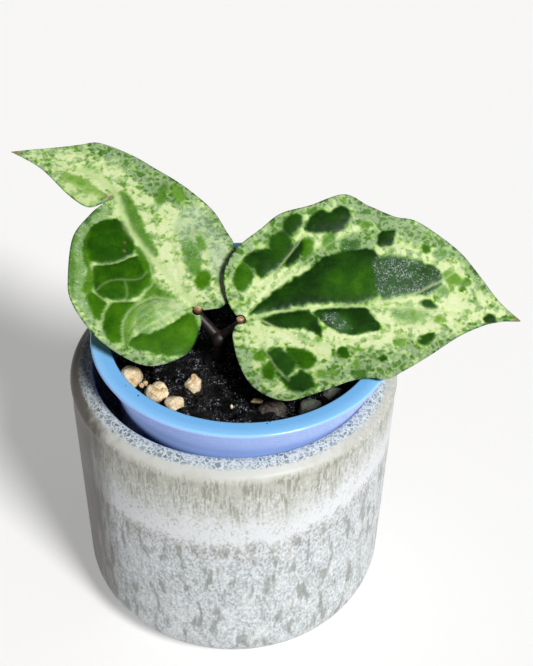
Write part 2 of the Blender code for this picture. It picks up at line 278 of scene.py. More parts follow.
def cover_pot_shape():
    heel_radius = WALL_RADIUS_LOW - FOOT_FILLET
    inner_heel_radius = INNER_RADIUS_LOW - INNER_FILLET
    profile = [(0.0, 0.0), (heel_radius - FOOT_EDGE, 0.0), (heel_radius, 0.0)]
    profile += arc((heel_radius, FOOT_FILLET), FOOT_FILLET, -86, 0, 16)
    for step in range(1, WALL_STEPS):
        share = step / WALL_STEPS
        height = FOOT_FILLET + (WALL_TOP_HEIGHT - FOOT_FILLET) * share
        profile.append((WALL_RADIUS_LOW + (WALL_RADIUS_HIGH - WALL_RADIUS_LOW) * share, height))
    profile += [(WALL_RADIUS_HIGH, WALL_TOP_HEIGHT), (NECK_RADIUS, NECK_HEIGHT)]
    profile += arc((LIP_RADIUS - LIP_ROUND, COVER_HEIGHT - LIP_DROP), LIP_ROUND, -20, 60, 8)
    profile += [(SHOULDER_RADIUS, COVER_HEIGHT - SHOULDER_DROP), (RIM_RADIUS, COVER_HEIGHT)]
    profile += arc((MOUTH_RADIUS + MOUTH_ROUND, COVER_HEIGHT - MOUTH_ROUND), MOUTH_ROUND, 100, 180, 6)
    profile += [(INNER_RADIUS_HIGH, WALL_TOP_HEIGHT)]
    profile += arc((inner_heel_radius, COVER_FLOOR + INNER_FILLET), INNER_FILLET, 0, -90, 10)
    profile += [(0.0, COVER_FLOOR)]
    return turned(profile)


def reactive_glaze():
    finish = Finish("reactive glaze", IOR=1.5, Specular_IOR_Level=0.35)
    drip = finish.noise((0.24, 0.045), detail=3)
    streak = finish.noise((1.5, 0.16), detail=3, roughness=0.6)
    crystals = finish.noise((1.25, 0.80), detail=4, roughness=0.62, distortion=0.35)
    cloud = finish.noise((0.16, 0.12), detail=3)
    blotch = finish.noise((0.36, 0.11), detail=3, roughness=0.5, distortion=0.3)
    # Height up the wall, ragged, and lower on the right where the glaze ran less
    level = finish.z + (drip - 0.5) * DRIP_REACH_MM - finish.x.band(18.0, 46.0, 0.0, 7.0)
    wall = finish.ramp(
        level * (MM / COVER_HEIGHT),
        (0.10, 166, 170, 172),
        (0.55, 176, 182, 187),
        (0.62, 190, 194, 198),
        (0.68, 205, 208, 212),
        (0.76, 200, 203, 205),
        (0.84, 182, 184, 179),
        (0.93, 174, 174, 165),
        (0.98, 186, 187, 181),
    )
    # Mottled field of crystals below the pale band, with soft pale clouds and darker blotches
    field = finish.ramp(
        crystals,
        (0.34, 134, 138, 137),
        (0.45, 164, 169, 171),
        (0.54, 189, 194, 198),
        (0.68, 213, 217, 221),
    )
    broken = level + (crystals - 0.5) * CRYSTAL_REACH_MM
    wall = finish.mix(broken.band(62.0, 53.0, 0.0, 0.85), wall, field)
    low = level.band(64.0, 54.0)
    wall = finish.mix(cloud.band(0.48, 0.62) * low * 0.35, wall, (216, 219, 221))
    wall = finish.mix(blotch.band(0.51, 0.66) * low * 0.68, wall, (114, 117, 109))
    fringe = level.band(51.0, 56.0) * level.band(63.0, 59.0) * crystals.band(0.56, 0.44)
    wall = finish.mix(fringe * 0.45, wall, (134, 131, 118))
    # Soft olive streaks in clusters between the band and the shoulder
    clusters = finish.noise((0.22, 0.10), detail=2).band(0.36, 0.58, 0.2, 1.0)
    olive = level.band(66.0, 79.0) * finish.z.band(88.6, 86.4) * clusters * streak.band(0.44, 0.58)
    wall = finish.mix(olive * 0.72, wall, (118, 119, 103))
    speckled = level.band(60.0, 68.0) * level.band(88.0, 78.0)
    wall = finish.mix(speckled * crystals.band(0.46, 0.36) * 0.6, wall, (132, 134, 124))
    wall = finish.mix(speckled * crystals.band(0.54, 0.64) * 0.5, wall, (214, 217, 220))
    # Painted shade: the left side, turned away from the key light, is darkened to a warm brown
    left = (finish.x + drip * DRIP_REACH_MM).band(-26.5, -36.0)
    wall = finish.mix(left * 0.88, wall, finish.mix(cloud, (62, 56, 50), (84, 74, 66)))
    # Crackled pool on the rim and inside
    wander = finish.radius() + crystals * 1.6
    crazed = finish.warped(0.9, 1.0)
    draw = finish.node("TexVoronoi", {"Vector": crazed, "Scale": CRAZE_SCALE}, "Color")
    draw = finish.node("SeparateColor", {"Color": draw}, "Red")
    pool = finish.mix(draw, (96, 107, 114), (152, 161, 166))
    pool = finish.mix(finish.cracks(crazed, CRAZE_SCALE).band(0.19, 0.0), pool, (196, 203, 205))
    pool = finish.mix(cloud.band(0.45, 0.62, 0.0, 0.3), pool, (178, 184, 184))
    # Painted shade: the pool is darker at the far left, under the shadow of the flange and the left leaf
    pool = finish.mix(finish.x.band(-42.0, -47.0, 0.0, 0.4), pool, (70, 74, 78))
    on_rim = wander.band(POOL_RADIUS_MM + 1.0, POOL_RADIUS_MM) * finish.z.band(20.0, 22.0)
    finish.feed("Base Color", finish.mix(on_rim, wall, pool))
    finish.feed("Roughness", on_rim.band(0.0, 1.0, 0.46, 0.26))
    finish.bump(crystals, 0.12, 0.4)
    return finish


cover_pot = piece_of(cover_pot_shape(), "cover_pot_glazed", reactive_glaze())
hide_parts("cover_pot")


# Nursery pot
# A light blue injection-moulded plastic pot with a flat flange and a collar that tapers in under it.
# It stands on the cover pot's floor and has drain holes in its own.

NURSERY_LOW, NURSERY_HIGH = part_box("nursery_pot")
NURSERY_CENTRE = Vector(((NURSERY_LOW.x + NURSERY_HIGH.x) / 2, (NURSERY_LOW.y + NURSERY_HIGH.y) / 2, 0.0))
NURSERY_BASE = NURSERY_LOW.z
NURSERY_TOP = NURSERY_HIGH.z
FLANGE_RADIUS = (NURSERY_HIGH.x - NURSERY_LOW.x) / 2
FLANGE_INNER_RADIUS = 0.0398
FLANGE_ROUND = 0.0007
NECK_RADIUS_BELOW_COLLAR = 0.0396
NECK_HEIGHT_BELOW_COLLAR = 0.0892
COLLAR_FLARE = 0.36
WALL_FLARE = 0.092
BASE_RADIUS = 0.0318
BASE_HEEL = 0.0024
PLASTIC_WALL = 0.0010
PLASTIC_CORNER = 0.0015
PLASTIC_FLOOR = 0.0014
DRAIN_HOLE_RADIUS = 0.0032
DRAIN_RING_RADIUS = 0.0210
DRAIN_HOLES = 6


def wall_inner_radius(height):
    """The radius of the nursery pot's inner wall, which widens evenly from its floor to its neck."""
    rise = min((height - COVER_FLOOR) / (NECK_HEIGHT_BELOW_COLLAR - COVER_FLOOR), 1.0)
    return BASE_RADIUS + (NECK_RADIUS_BELOW_COLLAR - BASE_RADIUS) * rise - PLASTIC_WALL


def nursery_pot_shape():
    floor_top = NURSERY_BASE + PLASTIC_FLOOR
    corner_top = floor_top + PLASTIC_CORNER
    edge_height = NURSERY_TOP - FLANGE_ROUND
    profile = [(0.0, NURSERY_BASE)]
    profile += arc((BASE_RADIUS - BASE_HEEL, NURSERY_BASE + BASE_HEEL), BASE_HEEL, -90, 0, 6)
    profile += [(NECK_RADIUS_BELOW_COLLAR, NECK_HEIGHT_BELOW_COLLAR)]
    profile += arc((FLANGE_RADIUS - FLANGE_ROUND, edge_height), FLANGE_ROUND, -40, 90, 8)
    profile += arc((FLANGE_INNER_RADIUS + FLANGE_ROUND, edge_height), FLANGE_ROUND, 90, 180, 6)
    profile += [(wall_inner_radius(NECK_HEIGHT_BELOW_COLLAR), NECK_HEIGHT_BELOW_COLLAR)]
    profile += [(wall_inner_radius(corner_top), corner_top)]
    profile += [(wall_inner_radius(floor_top) - PLASTIC_CORNER, floor_top), (0.0, floor_top)]
    return turned(profile, NURSERY_CENTRE)


def add_rod(shape, centre, radius, length):
    """Adds a closed upright rod."""
    bmesh.ops.create_cone(
        shape,
        cap_ends=True,
        segments=32,
        radius1=radius,
        radius2=radius,
        depth=length,
        matrix=Matrix.Translation(centre),
    )


def drain_drills():
    """The rods that cut the drain holes: one in the middle and a ring of six."""
    drills = bmesh.new()
    turns = [2 * math.pi * hole / DRAIN_HOLES for hole in range(DRAIN_HOLES)]
    ring = [(DRAIN_RING_RADIUS * math.cos(turn), DRAIN_RING_RADIUS * math.sin(turn)) for turn in turns]
    for x, y in [(0.0, 0.0), *ring]:
        add_rod(drills, NURSERY_CENTRE + Vector((x, y, NURSERY_BASE)), DRAIN_HOLE_RADIUS, 4 * PLASTIC_FLOOR)
    return placed("drain drills", mesh_of(drills, "drain drills"))


def make_speck_group():
    """Small round specks: one in each cell of a pattern, each with a size of its own."""
    group = bpy.data.node_groups.new("specks", "ShaderNodeTree")
    for socket, kind in (("Place", "Vector"), ("Scale", "Float"), ("Size", "Float")):
        group.interface.new_socket(socket, in_out="INPUT", socket_type="NodeSocket" + kind)
    group.interface.new_socket("Specks", in_out="OUTPUT", socket_type="NodeSocketFloat")
    shading = Shading(group)
    given = group.nodes.new("NodeGroupInput").outputs
    place, scale, size = [Layer(shading, given[name]) for name in ("Place", "Scale", "Size")]
    cells = {"Vector": place, "Scale": scale}
    draw = shading.node("SeparateColor", {"Color": shading.node("TexVoronoi", cells, "Color")}, "Red")
    specks = shading.node("TexVoronoi", cells, "Distance").band(draw * size, 0.0)
    result = group.nodes.new("NodeGroupOutput")
    group.links.new(specks.socket, result.inputs["Specks"])
    return group


def blue_plastic():
    finish = Finish("blue plastic", IOR=1.47, Emission_Strength=0.5)
    cloud = finish.noise(0.08, detail=3)
    radius = finish.radius((NURSERY_CENTRE.x / MM, NURSERY_CENTRE.y / MM))
    flange = finish.mix(cloud, (112, 176, 232), (122, 186, 242))
    flange = finish.mix(radius.band(42.0, 45.5), flange, (140, 196, 246))
    # The outer side looks lavender. Painted light: it glows a little, standing in for the light through the
    # thin plastic
    lavender = finish.mix(cloud, (144, 166, 224), (158, 182, 234))
    # Painted shade: deep purple towards the left, away from the key light
    lavender = finish.mix(finish.x.band(-30.0, -40.0, 0.0, 0.7), lavender, (84, 72, 150))
    # Painted shade: darker blue low down, in the gap inside the cover pot
    lavender = finish.mix(finish.z.band(87.0, 84.0, 0.0, 0.8), lavender, (84, 96, 186))
    above_neck = finish.z - NECK_HEIGHT_BELOW_COLLAR / MM
    mid_wall = finish.maths("MAXIMUM", above_neck * COLLAR_FLARE, above_neck * WALL_FLARE)
    mid_wall += (NECK_RADIUS_BELOW_COLLAR - PLASTIC_WALL / 2) / MM
    below_flange = finish.z.band(NURSERY_TOP / MM - 0.25, NURSERY_TOP / MM - 0.60)
    side = below_flange * (radius - mid_wall).band(-0.1, 0.1)
    # The painted glow is weaker at the left and fades out down in the gap
    painted_glow = side * finish.z.band(84.5, 88.5) * finish.x.band(-38.0, -29.0, 0.2, 1.0)
    finish.feed("Emission Color", finish.mix(painted_glow, (0, 0, 0), lavender))
    # The lit lavender is dimmed to leave room for the painted glow
    colour = finish.mix(side, flange, finish.mix(0.4, lavender, (0, 0, 0)))
    # Painted shade: the inner wall is darker blue
    inside = radius.band(FLANGE_INNER_RADIUS / MM + 0.6, FLANGE_INNER_RADIUS / MM)
    colour = finish.mix(inside * 0.5, colour, (70, 130, 200))
    dirt = finish.group(SPECKS, Scale=0.30, Size=0.16) * finish.noise(0.12, detail=2).band(0.5, 0.62)
    finish.feed("Base Color", finish.mix(dirt * 0.6, colour, (60, 70, 80)))
    scuff = finish.noise(0.5, detail=5, roughness=0.7)
    finish.feed("Roughness", scuff.band(0.35, 0.7, 0.16, 0.34))
    finish.bump(scuff, 0.06, 0.5)
    return finish


SPECKS = make_speck_group()
nursery_pot = piece_of(nursery_pot_shape(), "nursery_pot_moulded", blue_plastic())
drills = drain_drills()
holes = nursery_pot.modifiers.new("drain holes", "BOOLEAN")
holes.object = drills
holes.operation = "DIFFERENCE"
bpy.context.view_layer.update()
bored = bpy.data.meshes.new_from_object(nursery_pot.evaluated_get(bpy.context.evaluated_depsgraph_get()))
nursery_pot.modifiers.clear()
nursery_pot.data = bored
bpy.data.objects.remove(drills)
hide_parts("nursery_pot")


# Potting mix
# Black lava and charcoal in rough angular lumps, poured in round the roots, with a few pale pumice
# stones lying on top.

MIX_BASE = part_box("potting_mix")[0].z
MIX_LEVEL = 0.0900
MIX_GAP = 0.0006
MIX_RADIUS = wall_inner_radius(MIX_LEVEL) - MIX_GAP
MIX_BASE_RADIUS = wall_inner_radius(MIX_BASE) - MIX_GAP
LUMP_COUNT = 84
LUMP_RADIUS = 0.0044
LUMP_SIZES = (0.75, 1.2)
LUMP_FLATNESS = 0.8
LUMP_LEVELS = (-0.0026, 0.0008)
HAND_LUMP_SHAPE = Vector((1.0, 0.9, 0.7))
MIX_SEED = 11
PUMICE_SEED = 12
GREY_SEED = 5
CRUMBS_A_LUMP = 26
CRUMB_RADIUS = 0.0006
CRUMB_SIZES = (0.5, 1.7)
CRUMB_DEPTH = 0.9
CRUMB_RAGGEDNESS = 0.4
GRAIN_RADIUS = 0.0003
GRAIN_RISE = 0.0001
FLAT_DEPTHS = (0.62, 0.88)
FLAT_CUT = 0.85
STONE_SWELL = 1.12
NOISE_SPREAD = 50

# How rough a stone is: the height and the fineness of each layer, for a ball of radius 1
STONE_ROUGHNESS = ((0.16, 1.4), (0.10, 3.7), (0.05, 9.0))
LUMPS_BY_HAND = (
    ((-0.0190, -0.0100, 0.0925), 0.0058),
    ((-0.0060, -0.0150, 0.0915), 0.0052),
    ((-0.0052, -0.0235, 0.0910), 0.0050),
    ((-0.0140, -0.0290, 0.0900), 0.0044),
    ((0.0030, -0.0310, 0.0900), 0.0046),
    ((-0.0260, -0.0040, 0.0915), 0.0050),
)
GRAINS_ON_FLANGE = ((0.0099, -0.0412), (0.0106, -0.0406), (-0.0321, -0.0201), (-0.0264, -0.0303))
PUMICE_STONES = (
    ((-0.0302, -0.0138, 0.0940), (0.0031, 0.0034, 0.0036)),
    ((-0.0226, -0.0208, 0.0937), (0.0026, 0.0026, 0.0028)),
    ((-0.0213, -0.0188, 0.0942), (0.0022, 0.0018, 0.0020)),
    ((-0.0199, -0.0207, 0.0940), (0.0013, 0.0014, 0.0017)),
    ((-0.0168, -0.0247, 0.0938), (0.0026, 0.0022, 0.0022)),
    ((-0.0115, -0.0173, 0.0938), (0.0024, 0.0023, 0.0026)),
    ((-0.0114, -0.0168, 0.0956), (0.0012, 0.0012, 0.0020)),
    ((-0.0268, -0.0176, 0.0942), (0.0007, 0.0008, 0.0007)),
    ((-0.0257, -0.0167, 0.0942), (0.0007, 0.0006, 0.0008)),
    ((-0.0002, -0.0257, 0.0936), (0.0004, 0.0006, 0.0006)),
    ((0.0071, -0.0237, 0.0940), (0.0018, 0.0007, 0.0007)),
    ((0.0343, -0.0140, 0.0935), (0.0014, 0.0008, 0.0008)),
)
GREY_STONES = (
    ((0.0119, -0.0262, 0.0920), (0.0042, 0.0034, 0.0030)),
    ((0.0226, -0.0247, 0.0920), (0.0032, 0.0028, 0.0026)),
    ((0.0293, -0.0195, 0.0920), (0.0036, 0.0030, 0.0026)),
)


def add_stone(shape, centre, size, rng, fineness, cuts):
    """Adds a rough angular stone: a ball with flats struck off it, then roughened."""
    made = bmesh.ops.create_icosphere(shape, subdivisions=fineness, radius=1.0)["verts"]
    shift = Vector([rng.uniform(0, NOISE_SPREAD) for _ in range(3)])
    flats = []
    for _ in range(cuts):
        way = Vector([rng.gauss(0, 1) for _ in range(3)]).normalized()
        flats.append((way, rng.uniform(*FLAT_DEPTHS)))
    for corner in made:
        co = corner.co.copy()
        rough = sum(height * noise.noise(co * grain + shift) for height, grain in STONE_ROUGHNESS)
        for way, reach in flats:
            over = co.dot(way) - reach
            if over > 0:
                co -= way * over * FLAT_CUT
        co *= STONE_SWELL + rough
        corner.co = co * Vector(size) + Vector(centre)


def add_crumb(shape, centre, radius, rng):
    """Adds one angular grain with eight faces, every corner of it a little out of place."""
    def corner(*way):
        away = Vector([along + rng.uniform(-CRUMB_RAGGEDNESS, CRUMB_RAGGEDNESS) for along in way])
        return shape.verts.new(Vector(centre) + away * radius)

    top, bottom = corner(0, 0, 1), corner(0, 0, -1)
    belt = [corner(1, 0, 0), corner(0, 1, 0), corner(-1, 0, 0), corner(0, -1, 0)]
    for first, second in zip(belt, belt[1:] + belt[:1]):
        shape.faces.new((first, second, top))
        shape.faces.new((second, first, bottom))


def potting_mix_shape():
    rng = random.Random(MIX_SEED)
    profile = [(0.0, MIX_BASE), (MIX_BASE_RADIUS, MIX_BASE), (MIX_RADIUS, MIX_LEVEL), (0.0, MIX_LEVEL)]
    shape = turned(profile, NURSERY_CENTRE, steps=96)
    golden_turn = math.pi * (3 - math.sqrt(5))
    lumps = []
    for number in range(LUMP_COUNT):
        radius = LUMP_RADIUS * rng.uniform(*LUMP_SIZES)
        reach = (MIX_RADIUS - LUMP_SIZES[1] * radius) * math.sqrt((number + 0.5) / LUMP_COUNT)
        turn = golden_turn * number
        level = MIX_LEVEL + rng.uniform(*LUMP_LEVELS)
        place = NURSERY_CENTRE + Vector((reach * math.cos(turn), reach * math.sin(turn), level))
        lumps.append((place, Vector((radius, radius, LUMP_FLATNESS * radius))))
    lumps += [(Vector(place), radius * HAND_LUMP_SHAPE) for place, radius in LUMPS_BY_HAND]
    for place, size in lumps:
        add_stone(shape, place, size, rng, fineness=3, cuts=7)
        for _ in range(CRUMBS_A_LUMP):
            way = Vector((rng.gauss(0, 1), rng.gauss(0, 1), abs(rng.gauss(0, 1)))).normalized()
            add_crumb(shape, place + way * size * CRUMB_DEPTH, CRUMB_RADIUS * rng.uniform(*CRUMB_SIZES), rng)
    for x, y in GRAINS_ON_FLANGE:
        add_crumb(shape, (x, y, NURSERY_TOP + GRAIN_RISE), GRAIN_RADIUS, rng)
    return shape


def stones_shape(stones, seed):
    rng = random.Random(seed)
    shape = bmesh.new()
    for place, size in stones:
        add_stone(shape, place, size, rng, fineness=4, cuts=4)
    return shape


def black_mix():
    """Black lava, with painted shade in its cracks and dark patches, and painted glints and lit facets on
    its lit patches.
    """
    finish = Finish("black lava", Roughness=0.24)
    grain = finish.noise(1.1, detail=6, roughness=0.8)
    facets = finish.noise(2.1, detail=3, roughness=0.6)
    patchy = finish.noise(0.24, detail=2)
    border = finish.cracks(finish.warped(0.8, 1.2), 0.42)
    painted_lit_patches = patchy.band(0.46, 0.60)
    colour = finish.ramp(grain, (0.44, 4, 4, 5), (0.54, 26, 26, 30), (0.68, 88, 90, 98))
    brownish = finish.noise(0.12, detail=2).band(0.56, 0.66, 0.0, 0.3)
    colour = finish.mix(brownish, colour, (22, 17, 14))
    # Painted shade: near black outside the lit patches, and in the cracks between the crumbs
    colour = finish.mix(patchy.band(0.52, 0.42, 0.0, 0.85), colour, (2, 2, 3))
    colour = finish.mix(border.band(0.22, 0.0, 0.0, 0.95), colour, (2, 2, 3))
    # Painted light: lighter facets and bright glints in the lit patches, which stand for the tops of the
    # lumps
    colour = finish.mix(facets.band(0.57, 0.68) * painted_lit_patches * 0.75, colour, (132, 137, 148))
    painted_glint = finish.group(SPECKS, Scale=1.5, Size=0.60) * painted_lit_patches
    finish.feed("Base Color", finish.mix(painted_glint, colour, (214, 220, 232)))
    finish.bump(grain + border.band(0.0, 0.35) * 1.4, 1.2)
    return finish


def pumice():
    finish = Finish("pumice", Roughness=0.85)
    tone = finish.noise(0.30, detail=3)
    pores = finish.noise(1.8, detail=4, roughness=0.7)
    border = finish.cracks(finish.warped(0.7, 0.6), 0.55)
    colour = finish.ramp(tone, (0.35, 196, 166, 118), (0.50, 222, 202, 164), (0.65, 230, 218, 192))
    colour = finish.mix(pores.band(0.56, 0.70, 0.0, 0.6), colour, (128, 98, 66))
    colour = finish.mix(border.band(0.10, 0.01, 0.0, 0.5), colour, (146, 112, 72))
    colour = finish.mix(finish.z.band(93.4, 92.4, 0.0, 0.8), colour, (74, 52, 40))
    finish.feed("Base Color", colour)
    finish.bump(pores, 0.3, 0.7)
    return finish


def grey_stone():
    """A brownish lump of lava at the left, and two smooth grey stones at the right."""
    finish = Finish("grey stone", Roughness=0.6)
    grain = finish.noise(1.2, detail=5, roughness=0.75)
    rough = finish.ramp(grain, (0.40, 38, 33, 30), (0.56, 66, 60, 53), (0.66, 132, 118, 100))
    smooth = finish.ramp(grain, (0.35, 74, 78, 68), (0.65, 98, 102, 90))
    finish.feed("Base Color", finish.mix(finish.x.band(16.0, 19.0), rough, smooth))
    finish.bump(grain, 0.4, 0.7)
    return finish


potting_mix = piece_of(potting_mix_shape(), "potting_mix_lava", black_mix(), smooth_angle=30)
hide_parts("potting_mix")
pumice_shape = stones_shape(PUMICE_STONES, PUMICE_SEED)
pumice_stones = piece_of(pumice_shape, "pumice_stones", pumice(), smooth_angle=60)
grey_shape = stones_shape(GREY_STONES, GREY_SEED)
grey_stones = piece_of(grey_shape, "grey_stones", grey_stone(), smooth_angle=60)


# Leaves
# Each is one thick waxy blade. Its skin is pale yellow-green between the veins, with dark green
# islands that dome up, silver flecks where the skin lifts off the green, a painted grey sheen over the
# islands, and specks near the margin.

BLADE_THICKNESS = 0.0009
EDGE_RIPPLE = 0.5
EDGE_WAVES = 9
SPANS_ALONG = 290
SPANS_ACROSS = 150
RIM_STEPS = 160
NOTCH_RADIUS_MM = 1.75
NOTCH_START = 0.004
FAN_SHARE = 0.2
THIN_MARGIN_SHARE = 0.35
THIN_MARGIN_MM = 2.5
DOME_MARGIN_MM = 3.0
DOME_SHOULDER_MM = 2.2
SKIN_SINK_MM = 0.02
MARGIN_REACH_MM = 4.0
PALE_GREEN = 0.14
MARGIN_GREEN = 0.22
MARGIN_SILVER = 0.10
FRECKLE_GREEN = 0.55
FRECKLE_SIZES = (0.5, 1.2)
FRECKLE_SHADES = (0.3, 1.0)
FRECKLE_CROWDING = 1.5
FRECKLE_TURN = 0.5
FRECKLE_EDGE = (1.35, 0.6)
ISLAND_BLUR = 1.5
VEIN_BLUR_MM = 0.3
GROOVE_BLUR_MM = 0.5
RIGHT_SEED = 21
LEFT_SEED = 47
SKIN_LAYERS = ("green", "silver_and_sheen", "calm", "vein", "margin", "brown")

# How the edges of the markings wander: how far, in lumps of what size, and the steps of their seeds
WANDER = ((0.5, 1.6, 0, 9), (0.35, 5.0, 3, 5))


def smooth_line(points, places):
    """Points of a smooth curve through the given ones, at these places from 0 to 1."""
    points = np.asarray(points, float)
    spans = len(points) - 1
    scaled = np.clip(places, 0.0, 1.0) * spans
    span = np.minimum(scaled.astype(int), spans - 1)
    t = (scaled - span)[:, None]
    before = points[np.maximum(span - 1, 0)]
    start = points[span]
    end = points[span + 1]
    after = points[np.minimum(span + 2, spans)]
    return (
        0.5 * (2 * start + (end - before) * t)
        + 0.5 * (2 * before - 5 * start + 4 * end - after) * t**2
        + 0.5 * (3 * start - before - 3 * end + after) * t**3
    )


def smooth_loop(corners, samples=6):
    """A smooth closed outline through these corners."""
    count = len(corners)
    wrapped = [*corners[-2:], *corners, *corners[:2]]
    places = np.linspace(2, count + 2, count * samples, endpoint=False) / (count + 3)
    return smooth_line(wrapped, places)


def gaps_to(points, line):
    """The distance from each point to this open line, in millimetres."""
    start, step = line[:-1], line[1:] - line[:-1]
    away = points[:, None] - start
    share = np.clip((away * step).sum(2) / np.maximum((step**2).sum(1), 1e-9), 0, 1)
    return np.linalg.norm(away - share[..., None] * step, axis=2).min(1)


def depth_in(points, loop):
    """How far each point lies inside this closed outline, negative outside, in millimetres."""
    closed = np.vstack([loop, loop[:1]])
    gap = gaps_to(points, closed)
    (ax, ay), (bx, by) = closed[:-1].T, closed[1:].T
    x, y = points[:, :1], points[:, 1:]
    straddles = (ay > y) != (by > y)
    crossing = ax + (y - ay) * (bx - ax) / np.where(by == ay, 1e-9, by - ay)
    return np.where((straddles & (x < crossing)).sum(1) % 2 == 1, gap, -gap)


def eased(value, start, end):
    """Runs smoothly from 0 to 1 as the value goes from start to end."""
    t = np.clip((value - start) / (end - start), 0, 1)
    return t * t * (3 - 2 * t)


def wobble(points, grain, seed):
    """Smooth noise from -1 to 1 over the flat blade, with lumps of about this many millimetres."""
    return np.array([noise.noise(Vector((x / grain, y / grain, seed))) for x, y in points])


class Blade:
    """A heart-shaped leaf, drawn flat in millimetres as (along the midrib, out to its left), then bent.

    turns holds the azimuth and rise of the midrib and the tilt of the left half, in degrees.
    """

    def __init__(self, name, joint, turns, midrib, left_edge, right_edge, advance, cups, arch):
        a, r, t = [math.radians(turn) for turn in turns]
        self.name = name
        self.joint = np.array(joint)
        along = Vector((math.cos(a) * math.cos(r), math.sin(a) * math.cos(r), math.sin(r)))
        level = Vector((-math.sin(a), math.cos(a), 0.0))
        out = math.cos(t) * level + math.sin(t) * along.cross(level)
        self.axes = np.array([along, out, along.cross(out)])
        self.midrib = [(0, 0), *midrib]
        self.edges = [[(0, 0), *edge, midrib[-1]] for edge in (left_edge, right_edge)]
        self.advance = advance
        self.cups = cups
        self.arch = arch
        rim = [smooth_line(edge, np.linspace(NOTCH_START, 1, RIM_STEPS)) for edge in self.edges]
        self.rim = np.vstack([rim[0], rim[1][::-1][1:-1]])

    def flat(self, u, v):
        """The flat places: u runs from joint to tip, and v from the right edge to the left."""
        rib = smooth_line(self.midrib, u**self.advance)
        edge = np.where((v > 0)[:, None], *[smooth_line(side, u) for side in self.edges])
        start, end = [np.arctan2(line[:, 1], line[:, 0]) for line in (rib, edge)]
        near, far = [np.linalg.norm(line, axis=1) for line in (rib, edge)]
        turn = start + (end - start) * np.abs(v)
        reach = near + (far - near) * np.abs(v)
        fanned = np.column_stack([np.cos(turn), np.sin(turn)]) * reach[:, None]
        place = rib + (edge - rib) * np.abs(v)[:, None]
        place += (fanned - place) * np.exp(-((u / FAN_SHARE) ** 2))[:, None]
        reach = np.linalg.norm(place, axis=1)
        return place * ((reach**3 + NOTCH_RADIUS_MM**3) ** (1 / 3) / reach)[:, None]

    def heights(self, flat, u, v):
        """How far the bend lifts each place off the flat blade's plane, in millimetres."""
        cup = np.where(flat[:, 1] > 0, *self.cups) * flat[:, 1] ** 2
        length = self.midrib[-1][0]
        wave = np.sin(EDGE_WAVES * np.pi * u + 2 * v)
        ripple = EDGE_RIPPLE * np.sin(np.pi * u) * np.abs(v) ** 3 * wave
        return cup - self.arch * (flat[:, 0] / length) ** 2 * length + ripple

    def world(self, flat, lift):
        return self.joint + (np.column_stack([flat, lift]) @ self.axes) * MM


RIGHT_BLADE = Blade(
    name="leaf_right",
    joint=(0.0019, -0.0062, 0.1100),
    turns=(0, 0, 28),
    midrib=((8, 2.5), (20, 4.5), (32, 5), (44, 5), (56, 4.5), (68, 2.5), (77, 1.5), (82.5, 1.5)),
    left_edge=(
        (-3.5, 5.5), (-5, 14.5), (-1.5, 22.5), (5.5, 29), (11.5, 34), (20.5, 36.5), (31, 40.5),
        (38.5, 37), (46, 33.5), (53.5, 32), (64.5, 24), (71, 15.5), (76.5, 7.5),
    ),
    right_edge=(
        (-1.5, -2.5), (-2, -6), (0, -14.5), (4.5, -22.5), (13, -27), (23, -23.5), (31.5, -19.5),
        (37.5, -18.5), (42, -19), (47.5, -15.5), (55, -10.5), (64, -4), (71, -0.5), (77, 1),
    ),
    advance=1.3,
    cups=(0.002, 0.0085),
    arch=0.02,
)

LEFT_BLADE = Blade(
    name="leaf_left",
    joint=(-0.0106, -0.0017, 0.1100),
    turns=(127, 18, -14),
    midrib=((11.5, 0.5), (24, 1.5), (36, 1.5), (48, -1.5), (55.5, 0.5), (68.5, 7), (77.5, 13), (82, 17)),
    left_edge=(
        (-4, 1.5), (-9.5, 8), (-10.5, 15), (-8.5, 22), (-2.5, 26.5), (8.5, 30), (21, 30),
        (29.5, 26.5), (42.5, 17.5), (47.5, 8.5), (48.3, 3.5), (48.6, -0.5), (48.9, 3.5),
        (50.5, 8), (57.5, 10.5), (69, 12), (75.5, 14),
    ),
    right_edge=(
        (-2, -3.5), (-3, -7), (1, -13), (10.5, -20.5), (18, -22), (27, -23), (37, -21),
        (48.5, -17.5), (59, -14), (69, -8), (72.5, -2.5), (78.5, 9),
    ),
    advance=1.5,
    cups=(0.0045, 0.001),
    arch=0.03,
)

# The broad mottled zones of each leaf: how green (0 pale to 1 darkest), how silvery (silver flecks and
# painted sheen), how soft their edge is, in millimetres, and their outline on the flat blade
RIGHT_ZONES = (
    (0.08, 0, 5, (
        (40, 6), (52, 5), (64, 7), (74, 5), (78, 3), (72, 0), (62, -1), (48, -5), (34, -7), (26, -6),
    )),
    (0.48, 0.15, 2.5, (
        (22, -15), (26, -11.5), (32.5, -10), (40.5, -9), (47, -8.5), (55, -5.5), (61, -2), (58.5, -6),
        (51.5, -11.5), (45, -16.5), (37, -20), (30, -21), (23.5, -22.5),
    )),
    (0.46, 0.1, 1, ((-2.5, 9.5), (0, 9), (1, 6.5), (0, 0.5), (-1, -3), (-2, 3))),
    (0.55, 0.2, 1.5, ((-1, -10), (1.5, -8), (5, -18), (9.5, -24.5), (14.5, -26), (6.5, -25.5), (2, -20))),
    (0.7, 0.1, 1.2, (
        (-4.5, 17), (-1, 23.5), (6, 28), (13, 34), (19, 37), (25, 39), (27, 37), (20, 34), (14.5, 31.5),
        (8, 25.5), (2.5, 22), (-1, 18.5), (-3, 14),
    )),
    (0.6, 0.2, 1.6, (
        (28.5, 37.5), (33, 40), (39.5, 38), (47.5, 33.5), (56, 30), (63, 26.5), (69.5, 20), (68.5, 18),
        (59.5, 24.5), (50.5, 26), (45, 29), (39, 30.5), (33, 31.5), (33.5, 35.5),
    )),
    (0.6, 0.1, 1.2, (
        (17, 18.5), (24, 24), (31, 27.5), (38, 29.5), (45, 29), (46, 26), (40.5, 24), (32.5, 23), (25, 20),
        (18.5, 17),
    )),
)
